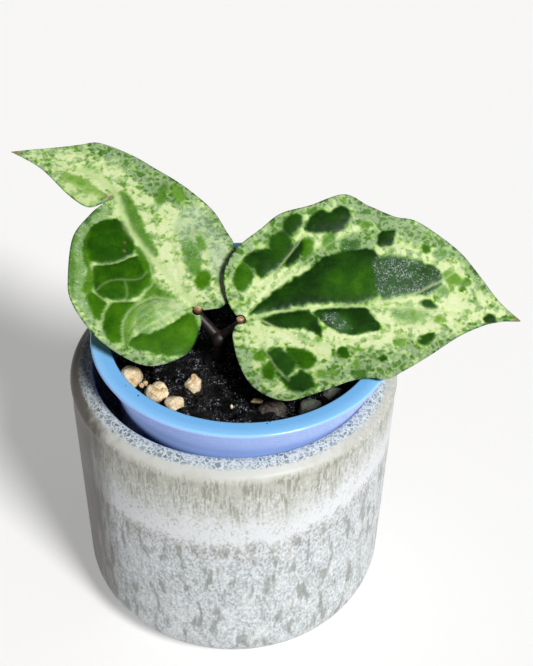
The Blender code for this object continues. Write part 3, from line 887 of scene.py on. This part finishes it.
LEFT_ZONES = (
    (0.1, 0.1, 2.5, (
        (45, -3.5), (36.5, -6), (28.5, -5), (18.5, -2.5), (8, -0.5), (3, 1), (6, 2.5), (16, 3),
        (31.5, 0.5),
    )),
    (0.46, 0.3, 1.2, (
        (41.5, 19), (45.5, 13), (47.5, 6.5), (44, 2.5), (43, 10.5), (38.5, 15.5), (32, 19), (24, 21.5),
        (20.5, 25.5), (15.5, 26.5), (10, 26), (9, 28), (16.5, 28.5), (25, 27), (33.5, 24),
    )),
    (0.46, 0.1, 1.5, (
        (9.5, 27.5), (2.5, 24.5), (-3, 21.5), (-7.5, 18), (-10.5, 16), (-8, 21.5), (-3.5, 26), (3, 28),
        (9.5, 29),
    )),
    (0.58, 0.15, 1.4, (
        (69.5, -8), (62, -13), (52.5, -16.5), (40.5, -19), (30, -20.5), (18.5, -21), (20, -18.5),
        (29.5, -16.5), (36.5, -13.5), (43, -10), (53, -9), (62, -6.5),
    )),
    (0.34, 0.8, 2, (
        (30, -11), (32, -18), (27.5, -20.5), (17, -20), (8.5, -16.5), (4.5, -11.5), (9.5, -10.5),
        (16, -13), (25, -9),
    )),
)

# The islands of each leaf, from the joint to the tip: how green, how silvery (silver flecks and
# painted sheen), how far they dome up and how soft their edge is, in millimetres, and their outline
# on the flat blade
RIGHT_ISLANDS = (
    (0.6, 0.3, 0, 0.7, ((24, 24), (24.5, 27), (27.5, 28), (28.5, 25), (26.5, 22.5))),
    (0.76, 0.35, 0.2, 0.7, ((29.5, 22.5), (30, 25), (32.5, 26), (36, 26), (35, 23.5), (31.5, 22))),
    (0.6, 0.2, 0, 0.6, ((36, 31.5), (37.5, 32.5), (38.5, 31), (37.5, 29), (36, 30))),
    (0.5, 0.2, 0, 0.9, ((45, -5.5), (47, -4.5), (48.5, -6), (46.5, -7.5), (45, -7))),
    (0.52, 0.1, 0, 0.5, ((26, -17), (27, -15.5), (28, -17), (27, -18))),
    (0.5, 0.1, 0, 0.5, ((32.5, -14), (33.5, -12.5), (34.5, -14), (33.5, -15.5))),
    (0.98, 0, 0.5, 0.5, (
        (3, 1.8), (5, 5), (9.5, 9), (15, 13), (20, 16), (24, 20), (31, 22.5), (37, 23.5), (40, 22.5),
        (42.5, 16.5), (43.5, 13.5), (40.5, 8.5), (34.5, 6), (26.5, 6), (17.5, 4.8), (8.5, 2.8),
    )),
    (0.8, 0, 0, 3, ((25, 12.5), (31, 16.5), (37, 19), (41.5, 15), (42.5, 10.5), (38, 7.5), (31, 6.5))),
    (0.92, 0.75, 0.5, 0.8, (
        (39.5, 19), (43, 21), (50, 20.5), (55, 18.5), (56, 10), (50.5, 9), (45.5, 8), (41, 8.5),
    )),
    (0.92, 0.5, 0.8, 0.5, (
        (51, 16), (53.5, 18), (57, 18.5), (59.5, 16), (59.5, 12.5), (57, 10), (53, 10),
    )),
    (1, 0, 0.5, 0.5, (
        (19.5, 28.5), (20, 32), (23.5, 35), (26.5, 34.5), (29.5, 37), (32.5, 35), (32, 31.5), (29, 28.5),
    )),
    (1, 0, 0.4, 0.4, ((40.5, 26.5), (42, 28.5), (46, 29.5), (45.5, 26), (44.5, 24.5), (41.5, 24))),
    (0.94, 0, 0.4, 0.7, ((12, 31.5), (14, 33.5), (17, 34), (18.5, 32), (17, 29), (15, 26.5), (12.5, 28))),
    (0.88, 0, 0.3, 0.9, (
        (8.5, 27), (12.5, 29), (15, 26.5), (15.5, 22.5), (14, 18.5), (10.5, 20), (8, 23),
    )),
    (0.68, 0, 0.4, 0.6, ((17.5, 25.5), (20, 26.5), (21.5, 24.5), (21, 20.5), (18.5, 19.5), (17, 22))),
    (1, 0, 0.3, 0.6, ((13, 18.5), (15, 22.5), (17, 25.5), (18.5, 24.5), (17.5, 20.5), (15, 17.5))),
    (0.94, 0, 0.5, 0.6, (
        (0.5, 18.5), (3, 21.5), (8, 23), (12, 20.5), (13, 18), (8.5, 15), (6, 13), (4, 15.5),
    )),
    (0.78, 0, 0.4, 0.5, ((-1.5, 15.5), (0.5, 18), (2.5, 17), (4, 13.5), (2, 10), (0, 9), (-2, 11.5))),
    (0.96, 0, 0.35, 0.4, (
        (6.5, 0), (11.5, 2.5), (17.5, 3.5), (20.5, 3), (23, -0.5), (23.5, -5), (20, -3), (10, -2),
    )),
    (0.97, 0, 0.35, 0.4, (
        (21.5, 3), (28, 4.2), (34.5, 4.6), (38, 3.5), (41, -1.5), (36.5, -3.5), (30.5, -4), (25, -1),
    )),
    (0.9, 0.7, 0, 0.8, ((24, 1.5), (28, 2.5), (31.5, 0), (32, -3), (28.5, -3), (25.5, -0.5))),
    (0.42, 0.6, 0.2, 1.4, ((45, 3.5), (50.5, 5), (55, 3.5), (54.5, 0.5), (49.5, -0.5), (45.5, 1))),
    (0.45, 0, 0, 0.4, ((56.5, 0.5), (58.5, 2.5), (61, 0.5))),
    (0.9, 0.1, 0.2, 0.4, ((51.5, -6), (53, -4), (56.5, -3), (56, -5.5), (53.5, -7))),
    (0.96, 0.1, 0.3, 0.3, (
        (71.6, 1.6), (72.4, 2.8), (73.6, 3.2), (74.8, 2.6), (75, 1.4), (74, 0.4), (72.4, 0.4),
    )),
    (0.75, 0.2, 0, 0.3, ((76.7, 2.6), (78, 3.3), (79, 2.6), (78, 2))),
    (0.9, 0.1, 0, 0.4, ((53, 6.5), (55.5, 7.5), (58, 5), (55, 4.5))),
    (0.52, 1, 0.3, 0.4, ((57, 22.5), (60, 23.5), (62.5, 22.5), (61, 20.5), (58.5, 20.5))),
    (0.52, 0.1, 0, 0.5, ((60, 16), (63, 17), (65.5, 13.5), (62, 12.5))),
    (0.62, 0.3, 0, 0.5, ((65, 13), (66.5, 14.5), (68, 13), (66.5, 11.5))),
    (0.78, 0.1, 0, 0.4, ((54, 24), (55.5, 25), (56.5, 23.5), (55, 22))),
    (0.45, 1, 0, 0.7, ((58, 10.5), (60.5, 12), (62, 10.5), (59.5, 8.5))),
    (0.62, 0, 0.2, 0.6, ((4, -11.5), (6.5, -9.5), (8, -11), (7, -13.5), (5, -13.5))),
    (0.9, 0.1, 0.4, 0.6, (
        (8, -10.5), (11, -9), (14.5, -11), (16.5, -14), (14, -18.5), (11, -16.5), (9, -13.5),
    )),
    (0.8, 0, 0.4, 0.5, (
        (13.5, -9.5), (15, -8.5), (20, -10), (22, -12.5), (21, -15), (18, -16), (15.5, -13),
    )),
    (0.94, 0.1, 0.4, 0.6, (
        (11, -17.5), (14.5, -19), (17.5, -16.5), (20.5, -18.5), (21.5, -22), (18, -24), (14, -23),
    )),
    (0.86, 0, 0.2, 0.4, ((28, -10.5), (29, -8.5), (31, -8.5), (31.5, -11), (30, -12))),
    (0.5, 0, 0, 0.4, ((31.5, -7.5), (33.5, -8.3), (36, -9), (33.5, -9.2))),
    (0.7, 0.2, 0.2, 0.7, ((32, -17), (34, -15.5), (36.5, -16.5), (36, -18.5), (33.5, -19))),
    (0.5, 0.2, 0, 0.7, ((22, -17.5), (23.5, -16), (25, -17), (24.5, -19), (22.5, -19))),
    (0.86, 0, 0, 0.4, ((40, -12), (41.5, -10.5), (42.5, -12), (41, -13))),
    (0.72, 0, 0.2, 0.7, ((6.5, -15), (9, -13.5), (10.5, -16.5), (9.5, -20), (7, -18.5))),
)
LEFT_ISLANDS = (
    (0.84, 0, 0.6, 0.5, (
        (38.5, 15.5), (42.5, 11), (43, 6.5), (40, 2.5), (36, 1.8), (31, 3.5), (28, 5), (27.8, 10),
        (29.5, 15), (32.5, 17),
    )),
    (0.8, 0, 0.7, 0.4, (
        (29, 17.5), (27.4, 13), (26.5, 8.5), (25.5, 5), (22, 5), (17, 6), (15, 9), (14.5, 14.5),
        (17, 19.5), (20.5, 21.5), (25, 20.5),
    )),
    (0.74, 0, 0.5, 0.4, ((21.5, 25), (21.5, 23), (16.5, 21.8), (13.5, 25), (12.5, 26.5), (16.5, 26.5))),
    (0.76, 0, 0.5, 0.4, (
        (15, 20.5), (14.5, 17.5), (12.6, 14.5), (10.5, 18.5), (7.5, 21.5), (3.5, 24), (5, 27), (10, 26),
        (13, 23.5),
    )),
    (0.56, 0.25, 0.3, 0.7, (
        (10, 18), (12, 14), (11.5, 9.5), (10, 11.5), (8, 16.5), (3.5, 20.5), (1, 24), (5.5, 22),
    )),
    (0.3, 0.6, 1, 1.2, (
        (7.5, 16.5), (10, 11.5), (9.5, 6.5), (5.5, 3.5), (1.5, 3.5), (0.5, 9.5), (0.5, 15.5), (2, 18.5),
    )),
    (0.46, 0.4, 0, 1, ((7.5, 16.5), (9.5, 13), (8.5, 10.5), (4.5, 12), (2, 15.5), (2, 18), (4.5, 18.5))),
    (0.62, 0.1, 0, 1.4, ((15.5, 7.5), (16.5, 5.5), (12, 5), (7.5, 3.5), (10.5, 7.5), (12, 11))),
    (0.74, 0.1, 0.8, 0.4, (
        (0.5, 23), (2, 19), (0.5, 15.5), (0, 9.5), (0.5, 4), (-0.5, 2.5), (-5, 3.5), (-9, 6.5), (-9.8, 11),
        (-7.8, 15.5), (-4.5, 19), (-2, 22),
    )),
    (0.66, 0, 0, 1.6, ((-1, 6), (-0.5, 3), (-4.5, 3), (-8, 6.5), (-9, 10), (-5.5, 9))),
    (0.62, 0.35, 0, 0.8, (
        (46, 13.5), (40.5, 19.5), (34.5, 23.5), (29.5, 26), (23, 28.5), (27.5, 24.5), (34, 21.5),
        (39.5, 18),
    )),
    (0.42, 0.9, 0, 0.8, (
        (45, 13), (39.5, 17.8), (33.5, 21), (27.5, 24.5), (21.5, 27), (14.5, 28), (20.5, 26), (26, 23.2),
        (32.5, 19.8), (38.5, 16.5), (42.5, 13),
    )),
    (0.68, 0, 0, 0.6, (
        (41.5, 12.5), (37.5, 16.5), (32.5, 19.5), (30, 19.5), (31.5, 18), (36, 16.5), (39.5, 15),
    )),
    (0.64, 0, 0, 0.6, ((24, 24.5), (29.5, 19), (23.5, 22), (22, 23.5))),
    (0.7, 0.5, 0, 0.5, ((46, 11.5), (48, 7.5), (47, 5.5), (45.5, 7.5), (45, 11))),
    (0.4, 0.8, 0, 0.6, ((45.5, 9), (46, 6), (44.4, 2.5), (43.8, 6), (44, 8.5))),
    (0.6, 0.25, 0, 0.7, (
        (49, -3), (46, -4.5), (39, -3.5), (32.5, -2), (23.5, -0.5), (26.5, 1), (33.5, 0.5), (41, -0.5),
    )),
    (0.64, 0, 0.3, 0.5, ((29, 3.5), (27, 2.5), (22, 3), (18.5, 4), (19, 5.5), (23.5, 5))),
    (0.42, 0, 0.3, 0.5, (
        (65.5, 8), (64.5, 6), (59.5, 3.5), (54, 2), (50.5, 1.5), (52.5, 4), (58.5, 6.5), (63, 8),
    )),
    (0.24, 0.2, 0, 1, ((63, 10), (60.5, 7.5), (55, 5), (51, 3.5), (50, 6.5), (53, 9), (58.5, 10))),
    (0.3, 1, 0.4, 0.6, ((24, -13), (23.5, -16), (20, -16), (17, -13), (19, -11), (22, -11))),
    (0.56, 0.3, 0.2, 0.5, ((21, -13.5), (19.5, -14.5), (17, -13.5), (17, -12), (19, -12))),
    (0.52, 0.9, 0.3, 0.6, (
        (22.5, -9), (22.5, -11), (19, -11), (15, -10.5), (12.5, -7.5), (15.5, -6.5), (19, -7.5),
    )),
    (0.58, 0.5, 0.2, 0.8, ((17.5, -7), (18.5, -10), (13.5, -9.5), (10, -7), (11.5, -5.5), (14.5, -5.5))),
    (0.66, 0, 0.2, 0.6, ((10, -6), (10.5, -8.5), (8, -9.5), (5.5, -7.5), (5.5, -5), (8, -4.5))),
    (0.52, 0.1, 0, 0.8, ((41.5, -17.5), (39.5, -19), (36, -18.5), (35.5, -16), (38.5, -16))),
    (0.58, 0.2, 0, 0.8, ((43, -14), (43.5, -16.5), (38.5, -12.5), (39, -10.5), (41.5, -11.5))),
)

# The veins that show: width of the pale line and depth of its groove, in millimetres, and the line
RIGHT_VEINS = (
    (0.4, 0.25, ((0, 0), (8, 2.2), (20, 4.2), (32, 4.9), (44, 5), (56, 4.5), (66, 3.2))),
    (0.24, 0.15, ((3, 2.5), (6.5, 7.5), (11.5, 13.5), (17.5, 17.5), (23, 22), (29.5, 26.5), (37.5, 30))),
    (0.3, 0.15, ((1.5, 6.5), (6.5, 11.5), (11, 16.5), (16.5, 24), (19.5, 28.5))),
    (0.35, 0.15, ((38.5, 3), (43, -2), (46.5, -4.5), (52.5, -5))),
    (0.35, 0.15, ((6.5, 0), (14.5, -4.5), (22, -7), (29, -6.5), (38.5, -5))),
    (0.22, 0.12, ((1.5, -1.5), (6.5, -8), (10, -14.5), (14, -20))),
    (0.35, 0.15, ((38, 6.5), (44.5, 7), (53, 10), (61, 14.5), (67, 20))),
    (0.35, 0.15, ((41, 23.5), (47.5, 24.5), (53.5, 25))),
)
LEFT_VEINS = (
    (1.1, 0.35, ((0, 0), (11.5, 0.5), (24, 1.5), (36, 1.5), (48, -1.5), (56.5, -1), (64, 2))),
    (0.22, 0.3, ((30.5, 18), (29, 15), (28, 13), (27.2, 9.5), (26.8, 4.5))),
    (0.22, 0.25, (
        (22.5, 23), (19.5, 22), (16.2, 20.8), (14.8, 17.5), (13.4, 14.5), (13.8, 9.5), (15.5, 5.5),
    )),
    (0.22, 0.2, ((16, 21), (13.5, 24), (10, 27))),
    (0.3, 0.2, ((11.5, 9.5), (11, 15), (9, 19.5), (5.5, 22.5), (1.5, 24.5))),
    (0.35, 0.2, ((40.5, -0.5), (34, 1.5), (28, 2), (22, 3), (18, 4.5), (15, 5))),
    (0.35, 0.2, ((2.5, 1), (3, 5.5), (3, 11), (3, 16), (2.5, 20.5))),
    (0.35, 0.15, ((2.5, 0.5), (7, 4.5), (11, 9), (11.5, 14))),
    (0.16, 0.05, ((2.5, 1), (5.5, 6), (7, 11), (6.5, 17), (4.5, 21))),
    (0.16, 0.05, ((2.5, 1), (4.5, 7), (5, 12), (4.5, 18))),
    (0.14, 0.05, ((20.5, 12.5), (18.5, 9), (19.5, 5.5))),
    (0.14, 0.05, ((20.5, 12.5), (16.5, 14), (14.5, 16))),
    (0.14, 0.05, ((20.5, 12.5), (22.5, 17), (21.5, 21.5))),
    (0.35, 0.15, ((8, 0.5), (17.5, -3.5), (25, -7), (31, -13.5))),
    (0.35, 0.15, ((48, -1.5), (56.5, -2), (62, -2.5))),
)

# The rows of specks along the margins: side, first and last place from joint to tip, how far they
# reach in from the margin, how many there are, and their length and width, all sizes in millimetres
RIGHT_FRECKLES = (
    ("left", 0.1, 0.95, 8, 90, 1.2, 1),
    ("right", 0.1, 0.95, 8, 90, 1.2, 1),
    ("right", 0.35, 0.95, 13, 90, 1.9, 1.6),
    ("left", 0.5, 0.92, 14, 60, 1.9, 1.6),
)
LEFT_FRECKLES = (
    ("right", 0.3, 0.8, 7, 110, 3.2, 1.5),
    ("right", 0.1, 0.95, 7, 90, 1.3, 1.1),
    ("left", 0.08, 0.55, 3, 70, 1.3, 1.1),
    ("left", 0.7, 0.98, 5, 50, 1.3, 1),
)

# The brown places at the tips, the notch and the scars: along, out and reach, in millimetres
RIGHT_BROWN = ((82.5, 1.5, 3),)
LEFT_BROWN = (
    (82, 17, 4),
    (50.2, 1.2, 1.1),
    (49, 0.4, 1.2),
    (36.8, 3, 0.6),
    (32, 5.5, 0.6),
    (29.5, 7.2, 0.7),
)

# The last of the markings is how far the islands spread past their outlines, in millimetres
Markings = namedtuple("Markings", "zones freckles islands veins browned spread")
RIGHT_MARKINGS = Markings(RIGHT_ZONES, RIGHT_FRECKLES, RIGHT_ISLANDS, RIGHT_VEINS, RIGHT_BROWN, 0.1)
LEFT_MARKINGS = Markings(LEFT_ZONES, LEFT_FRECKLES, LEFT_ISLANDS, LEFT_VEINS, LEFT_BROWN, 0.45)


def freckle_cover(blade, flat, rows, seed):
    """How far each place is covered by the specks, which a seeded rule scatters along the margins."""
    rng = random.Random(seed)
    cover = np.zeros(len(flat))
    for side, first, last, reach, count, length, width in rows:
        edge = blade.edges[0 if side == "left" else 1]
        for _ in range(count):
            u = rng.uniform(first, last)
            start = smooth_line(edge, np.array([u]))[0]
            rib = smooth_line(blade.midrib, np.array([u**blade.advance]))[0]
            inward = (rib - start) / max(np.linalg.norm(rib - start), 1e-6)
            centre = start + inward * reach * rng.random() ** FRECKLE_CROWDING
            long_way = Vector(inward).to_2d()
            long_way.rotate(Matrix.Rotation(rng.gauss(0, FRECKLE_TURN), 2))
            size = rng.uniform(*FRECKLE_SIZES)
            shade = rng.uniform(*FRECKLE_SHADES)
            offset = flat - centre
            near = np.abs(offset).max(1) < 2 * length
            here = offset[near]
            lengthways = here @ np.array(long_way)
            crossways = here @ np.array((-long_way.y, long_way.x))
            span = np.hypot(lengthways / (length * size / 2), crossways / (width * size / 2))
            cover[near] = np.maximum(cover[near], shade * eased(span, *FRECKLE_EDGE))
    return cover


def skin_of(blade, marks, flat, inset, seed):
    """What the skin shows at each place of the flat blade, and how high it domes up there."""
    green = PALE_GREEN + MARGIN_GREEN * np.exp(-inset / MARGIN_REACH_MM)
    silver_and_sheen = MARGIN_SILVER * np.exp(-inset / MARGIN_REACH_MM)
    calm, vein, brown, dome = [np.zeros(len(flat)) for _ in range(4)]
    warped = flat
    for reach, grain, *steps in WANDER:
        warped = warped + reach * np.column_stack([wobble(flat, grain, seed + step) for step in steps])

    def shaded(shade, shine, outline, softness, spread=0.0):
        """Colours the inside of this outline: gives the places near it, their depth and its soft mask."""
        loop = smooth_loop(outline)
        low, high = loop.min(0) - 2 * softness - 1, loop.max(0) + 2 * softness + 1
        near = ((warped > low) & (warped < high)).all(1)
        depth = depth_in(warped[near], loop) + spread
        mask = eased(depth, -softness, softness)
        green[near] += (shade - green[near]) * mask
        silver_and_sheen[near] += (shine - silver_and_sheen[near]) * mask
        return near, depth, mask

    for shade, shine, softness, outline in marks.zones:
        shaded(shade, shine, outline, softness)
    green += freckle_cover(blade, flat, marks.freckles, seed) * FRECKLE_GREEN * (1 - green)
    for shade, shine, rise, softness, outline in marks.islands:
        near, depth, mask = shaded(shade, shine, outline, softness * ISLAND_BLUR, marks.spread)
        calm[near] = np.maximum(calm[near], mask * min(2 * shade, 1.0))
        swell = rise * (1 - np.exp(-np.maximum(depth, 0) / DOME_SHOULDER_MM))
        dome[near] = np.maximum(dome[near], swell)
    for width, depth, line in marks.veins:
        gap = gaps_to(warped * 0.5 + flat * 0.5, smooth_line(line, np.linspace(0, 1, 8 * len(line))))
        vein = np.maximum(vein, np.exp(-((gap / max(width, VEIN_BLUR_MM)) ** 2)) * min(2 * width, 1.0))
        dome -= depth * np.exp(-((gap / (width + GROOVE_BLUR_MM)) ** 2))
    for along, out, reach in marks.browned:
        gap = np.hypot(flat[:, 0] - along, flat[:, 1] - out)
        brown = np.maximum(brown, eased(gap, reach, 0.3 * reach))
    margin = np.exp(-inset / MARGIN_REACH_MM)
    return dict(zip(SKIN_LAYERS, (green, silver_and_sheen, calm, vein, margin, brown))), dome


def leaf_shape(blade, marks, seed):
    """The bent sheet of the blade, with what its skin shows stored at its points."""
    shape = bmesh.new()
    bmesh.ops.create_grid(shape, x_segments=SPANS_ALONG, y_segments=SPANS_ACROSS, size=1.0)
    grid = np.array([corner.co[:2] for corner in shape.verts])
    u, v = NOTCH_START + (1 - NOTCH_START) * np.clip((grid[:, 0] + 1) / 2, 0, 1), grid[:, 1]
    flat = blade.flat(u, v)
    inset = np.maximum(depth_in(flat, blade.rim), 0.0)
    skin, dome = skin_of(blade, marks, flat, inset, seed)
    lift = blade.heights(flat, u, v) + (dome * eased(inset, 0.0, DOME_MARGIN_MM) - SKIN_SINK_MM)
    world = blade.world(flat, lift)
    body = THIN_MARGIN_SHARE + (1 - THIN_MARGIN_SHARE) * eased(inset, 0.0, THIN_MARGIN_MM)
    layers = {name: shape.verts.layers.float.new(name) for name in skin}
    weights = shape.verts.layers.deform.verify()
    for number, corner in enumerate(shape.verts):
        corner.co = world[number]
        corner[weights][0] = body[number]
        for name, layer in layers.items():
            corner[layer] = skin[name][number]
    bmesh.ops.remove_doubles(shape, verts=shape.verts[:], dist=MERGE_GAP)
    return shape


def leaf_skin():
    """The upper skin: pale and mottled between the veins, calm and green on the islands."""
    finish = Finish("leaf skin", IOR=1.45, Specular_IOR_Level=0.15)
    green, silver_and_sheen, calm, vein, margin, brown = [finish.attribute(name) for name in SKIN_LAYERS]
    loose = 1.0 - finish.maths("MAXIMUM", calm, vein)
    drifting = finish.warped(0.35, 0.6)
    cloud = finish.noise(0.20, detail=3)
    fine = finish.noise(1.3, detail=4, roughness=0.6, place=drifting)
    # Soft green blobs in the pale skin, which spread where the skin is greener and at the margin
    large = finish.noise(0.30, detail=1, roughness=0.4, place=drifting)
    small = finish.noise(0.64, detail=1, roughness=0.5, place=drifting)
    blobs = large * 0.5 + small * 0.5 + green * 0.22 + margin * 0.03
    amount = green * loose.band(0.0, 1.0, 1.0, 0.65) + blobs.band(0.51, 0.66) * loose * 0.38
    amount = finish.maths("MINIMUM", amount, loose.band(0.0, 0.6, 1.0, 0.66))
    amount += (fine - 0.5) * calm.band(0.0, 1.0, 0.34, 0.16)
    amount += (cloud - 0.5) * 0.35
    amount += margin.band(0.88, 0.97, 0.0, 0.30)
    colour = finish.ramp(
        amount,
        (0.00, 210, 218, 170),
        (0.15, 186, 203, 140),
        (0.32, 142, 174, 92),
        (0.50, 98, 142, 46),
        (0.68, 60, 108, 8),
        (0.84, 33, 76, 4),
        (1.00, 16, 46, 4),
    )
    # Soft whitish threads wander through the pale skin, and the veins are paler still
    threads = finish.maths("ABSOLUTE", finish.noise(0.40, detail=3, roughness=0.5, place=drifting) - 0.5)
    colour = finish.mix(threads.band(0.13, 0.0) * loose * 0.40, colour, (196, 212, 176))
    colour = finish.mix(vein * fine.band(0.3, 0.6, 0.6, 0.8), colour, (176, 198, 138))
    # Silver where the skin lifts off the green, with painted sheen: the grey haze over the islands
    # and some of the pale flecks stand in for glare
    net = finish.noise(2.0, detail=4, roughness=0.75, distortion=0.6)
    tufts = finish.noise(0.35, detail=2).band(0.42, 0.60, 0.1, 1.0)
    flecks = (net + silver_and_sheen * 0.10).band(0.56, 0.70) * silver_and_sheen.band(0.05, 0.35) * tufts
    haze = finish.mix(calm, (176, 194, 164), (112, 140, 116))
    colour = finish.mix(silver_and_sheen * calm.band(0.0, 1.0, 0.40, 0.16), colour, haze)
    colour = finish.mix(flecks * 0.70, colour, (178, 194, 186))
    finish.feed("Base Color", finish.mix(brown * 0.7, colour, (124, 98, 74)))
    finish.feed("Roughness", flecks.band(0.0, 1.0, 0.36, 0.28))
    finish.bump(fine * 0.6 + net * silver_and_sheen * 1.5, 0.12, 0.5)
    return finish


def leaf_underside():
    finish = Finish("leaf underside", Roughness=0.5, IOR=1.45)
    cloud = finish.noise(0.3, detail=4)
    amount = finish.attribute("green") * 0.5 + cloud
    colour = finish.ramp(amount, (0.4, 160, 178, 120), (0.7, 118, 146, 84), (1.0, 84, 116, 66))
    finish.feed("Base Color", finish.mix(finish.attribute("vein") * 0.7, colour, (184, 194, 140)))
    finish.bump(cloud, 0.2, 0.4)
    return finish


def make_leaf(blade, marks, seed, finishes):
    leaf = piece_of(leaf_shape(blade, marks, seed), blade.name + "_blade", *finishes, smooth_angle=80)
    leaf.vertex_groups.new(name="body")
    wall = leaf.modifiers.new("thickness", "SOLIDIFY")
    wall.thickness = BLADE_THICKNESS
    wall.offset = -1.0
    wall.vertex_group = "body"
    wall.material_offset = 1
    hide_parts(blade.name)


skins = (leaf_skin(), leaf_underside())
make_leaf(RIGHT_BLADE, RIGHT_MARKINGS, RIGHT_SEED, skins)
make_leaf(LEFT_BLADE, LEFT_MARKINGS, LEFT_SEED, skins)


# Stem
# A short woody stem with a swollen joint, from which two leaf stalks rise to a shiny brown knuckle
# in the notch of each leaf. It rises out of the mix.

STEM_RADIUS = 0.0020
STEM_BOTTOM = Vector((-0.0043, -0.0040, 0.0740))
STEM_JOINT = Vector((-0.0043, -0.0040, 0.1010))
JOINT_RADIUS = 0.0027
STALK_RADII = (0.0018, 0.0012)
KNUCKLE_RADIUS = 0.0013
KNUCKLE_DROP = 0.0001
ELBOW_DROP = 0.0030
STEM_VOXEL = 0.0002


def below_joint(blade, drop):
    """The place this far straight under the blade's joint, in the notch of the heart."""
    return Vector(blade.joint) - Vector(blade.axes[2]) * drop


def add_bead(shape, centre, radius, fineness=4):
    place = Matrix.Translation(centre)
    bmesh.ops.create_icosphere(shape, subdivisions=fineness, radius=radius, matrix=place)


def add_stalk(shape, points, radii, steps=20):
    """Adds a round stalk through these points, as a row of overlapping beads that the remesh fuses."""
    line = smooth_line([tuple(point) for point in points], np.linspace(0, 1, steps + 1))
    for step, place in enumerate(line):
        add_bead(shape, place, radii[0] + (radii[1] - radii[0]) * step / steps, fineness=3)


def stem_shape():
    shape = bmesh.new()
    add_rod(shape, (STEM_BOTTOM + STEM_JOINT) / 2, STEM_RADIUS, STEM_JOINT.z - STEM_BOTTOM.z)
    add_bead(shape, STEM_JOINT, JOINT_RADIUS)
    for blade in (LEFT_BLADE, RIGHT_BLADE):
        knuckle = below_joint(blade, KNUCKLE_DROP)
        add_stalk(shape, [STEM_JOINT, below_joint(blade, KNUCKLE_DROP + ELBOW_DROP), knuckle], STALK_RADII)
        add_bead(shape, knuckle, KNUCKLE_RADIUS)
    return shape


def stem_bark():
    """Bark painted nearly black with shade, brown near the knuckles, and a painted highlight atop each."""
    finish = Finish("stem bark", Roughness=0.5)
    tone = finish.noise(0.7, detail=4)
    # Painted shade: the bark is darkened to nearly black
    colour = finish.ramp(tone, (0.35, 12, 7, 6), (0.55, 24, 13, 10), (0.70, 40, 24, 18))
    knuckle = finish.ramp(tone, (0.42, 150, 104, 76), (0.60, 214, 184, 150))
    # Brown near the knuckles, where the painted shade stops, and a painted highlight on each knuckle's top
    colour = finish.mix(finish.z.band(108.8, 110.2), colour, (84, 50, 36))
    finish.feed("Base Color", finish.mix(finish.z.band(110.2, 111.1), colour, knuckle))
    finish.bump(tone, 0.2, 0.6)
    return finish


stem = piece_of(stem_shape(), "hoya_stem_bark", stem_bark())
fuse = stem.modifiers.new("grown together", "REMESH")
fuse.mode = "VOXEL"
fuse.voxel_size = STEM_VOXEL
fuse.use_smooth_shade = True
soften = stem.modifiers.new("smooth bark", "SMOOTH")
soften.factor = 0.5
soften.iterations = 4
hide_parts("hoya_stem")


# Studio
# A plain pale light table that glows a little from below, one key lamp from the front right, a weak
# broad lamp overhead, and the camera of the photograph, which looks down at the pots.

FLOOR_REACH = 4.0
CAMERA_PLACE = Vector((0.006426, -0.301866, 0.348256))
CAMERA_PITCH = math.radians(39.42)
CAMERA_YAW = 0.011
CAMERA_ROLL = 0.018
CAMERA_LENS_MM = 70.27
SUN_WAY = Vector((0.430, -0.592, 0.682))
SUN_STRENGTH = 4.4
SUN_WIDTH = math.radians(14.0)
FILL_WAY = Vector((0.3, -0.25, 1.0))
FILL_STRENGTH = 0.26
FILL_WIDTH = math.radians(100.0)
SKY_STRENGTH = 0.03
TABLE_GREY = 0.56
TABLE_GLOW = 0.34


def make_floor():
    shape = bmesh.new()
    bmesh.ops.create_grid(shape, x_segments=1, y_segments=1, size=FLOOR_REACH)
    mesh = mesh_of(shape, "floor")
    paint = bpy.data.materials.new("pale floor")
    paint.use_nodes = True
    shader = paint.node_tree.nodes["Principled BSDF"]
    shader.inputs["Base Color"].default_value = (TABLE_GREY, TABLE_GREY, TABLE_GREY, 1.0)
    shader.inputs["Roughness"].default_value = 0.9
    shader.inputs["Specular IOR Level"].default_value = 0.1
    shader.inputs["Emission Color"].default_value = (1.0, 0.995, 0.985, 1.0)
    shader.inputs["Emission Strength"].default_value = TABLE_GLOW
    mesh.materials.append(paint)
    placed("floor", mesh)


def make_camera():
    ahead = Vector((math.sin(CAMERA_YAW), math.cos(CAMERA_YAW), 0.0)) * math.cos(CAMERA_PITCH)
    ahead.z = -math.sin(CAMERA_PITCH)
    level = Vector((math.cos(CAMERA_YAW), -math.sin(CAMERA_YAW), 0.0))
    above = level.cross(ahead)
    right = math.cos(CAMERA_ROLL) * level + math.sin(CAMERA_ROLL) * above
    up = math.cos(CAMERA_ROLL) * above - math.sin(CAMERA_ROLL) * level
    lens = bpy.data.cameras.new("camera")
    lens.lens = CAMERA_LENS_MM
    lens.clip_start = 0.01
    camera = placed("camera", lens)
    turn = Matrix((right, up, -ahead)).transposed().to_4x4()
    camera.matrix_world = Matrix.Translation(CAMERA_PLACE) @ turn
    bpy.context.scene.camera = camera


def add_lamp(name, way, strength, width, colour):
    lamp = bpy.data.lights.new(name, "SUN")
    lamp.energy = strength
    lamp.angle = width
    lamp.color = colour
    placed(name, lamp).rotation_euler = way.to_track_quat("Z", "Y").to_euler()


def make_light():
    add_lamp("key light", SUN_WAY, SUN_STRENGTH, SUN_WIDTH, (1.0, 0.99, 0.975))
    add_lamp("overhead light", FILL_WAY, FILL_STRENGTH, FILL_WIDTH, (0.97, 0.985, 1.0))
    sky = bpy.data.worlds.new("sky light")
    bpy.context.scene.world = sky
    sky.use_nodes = True
    sky.node_tree.nodes["Background"].inputs["Color"].default_value = (1.0, 0.99, 0.97, 1.0)
    sky.node_tree.nodes["Background"].inputs["Strength"].default_value = SKY_STRENGTH


make_floor()
make_camera()
make_light()
bpy.context.scene.view_settings.view_transform = "Standard"
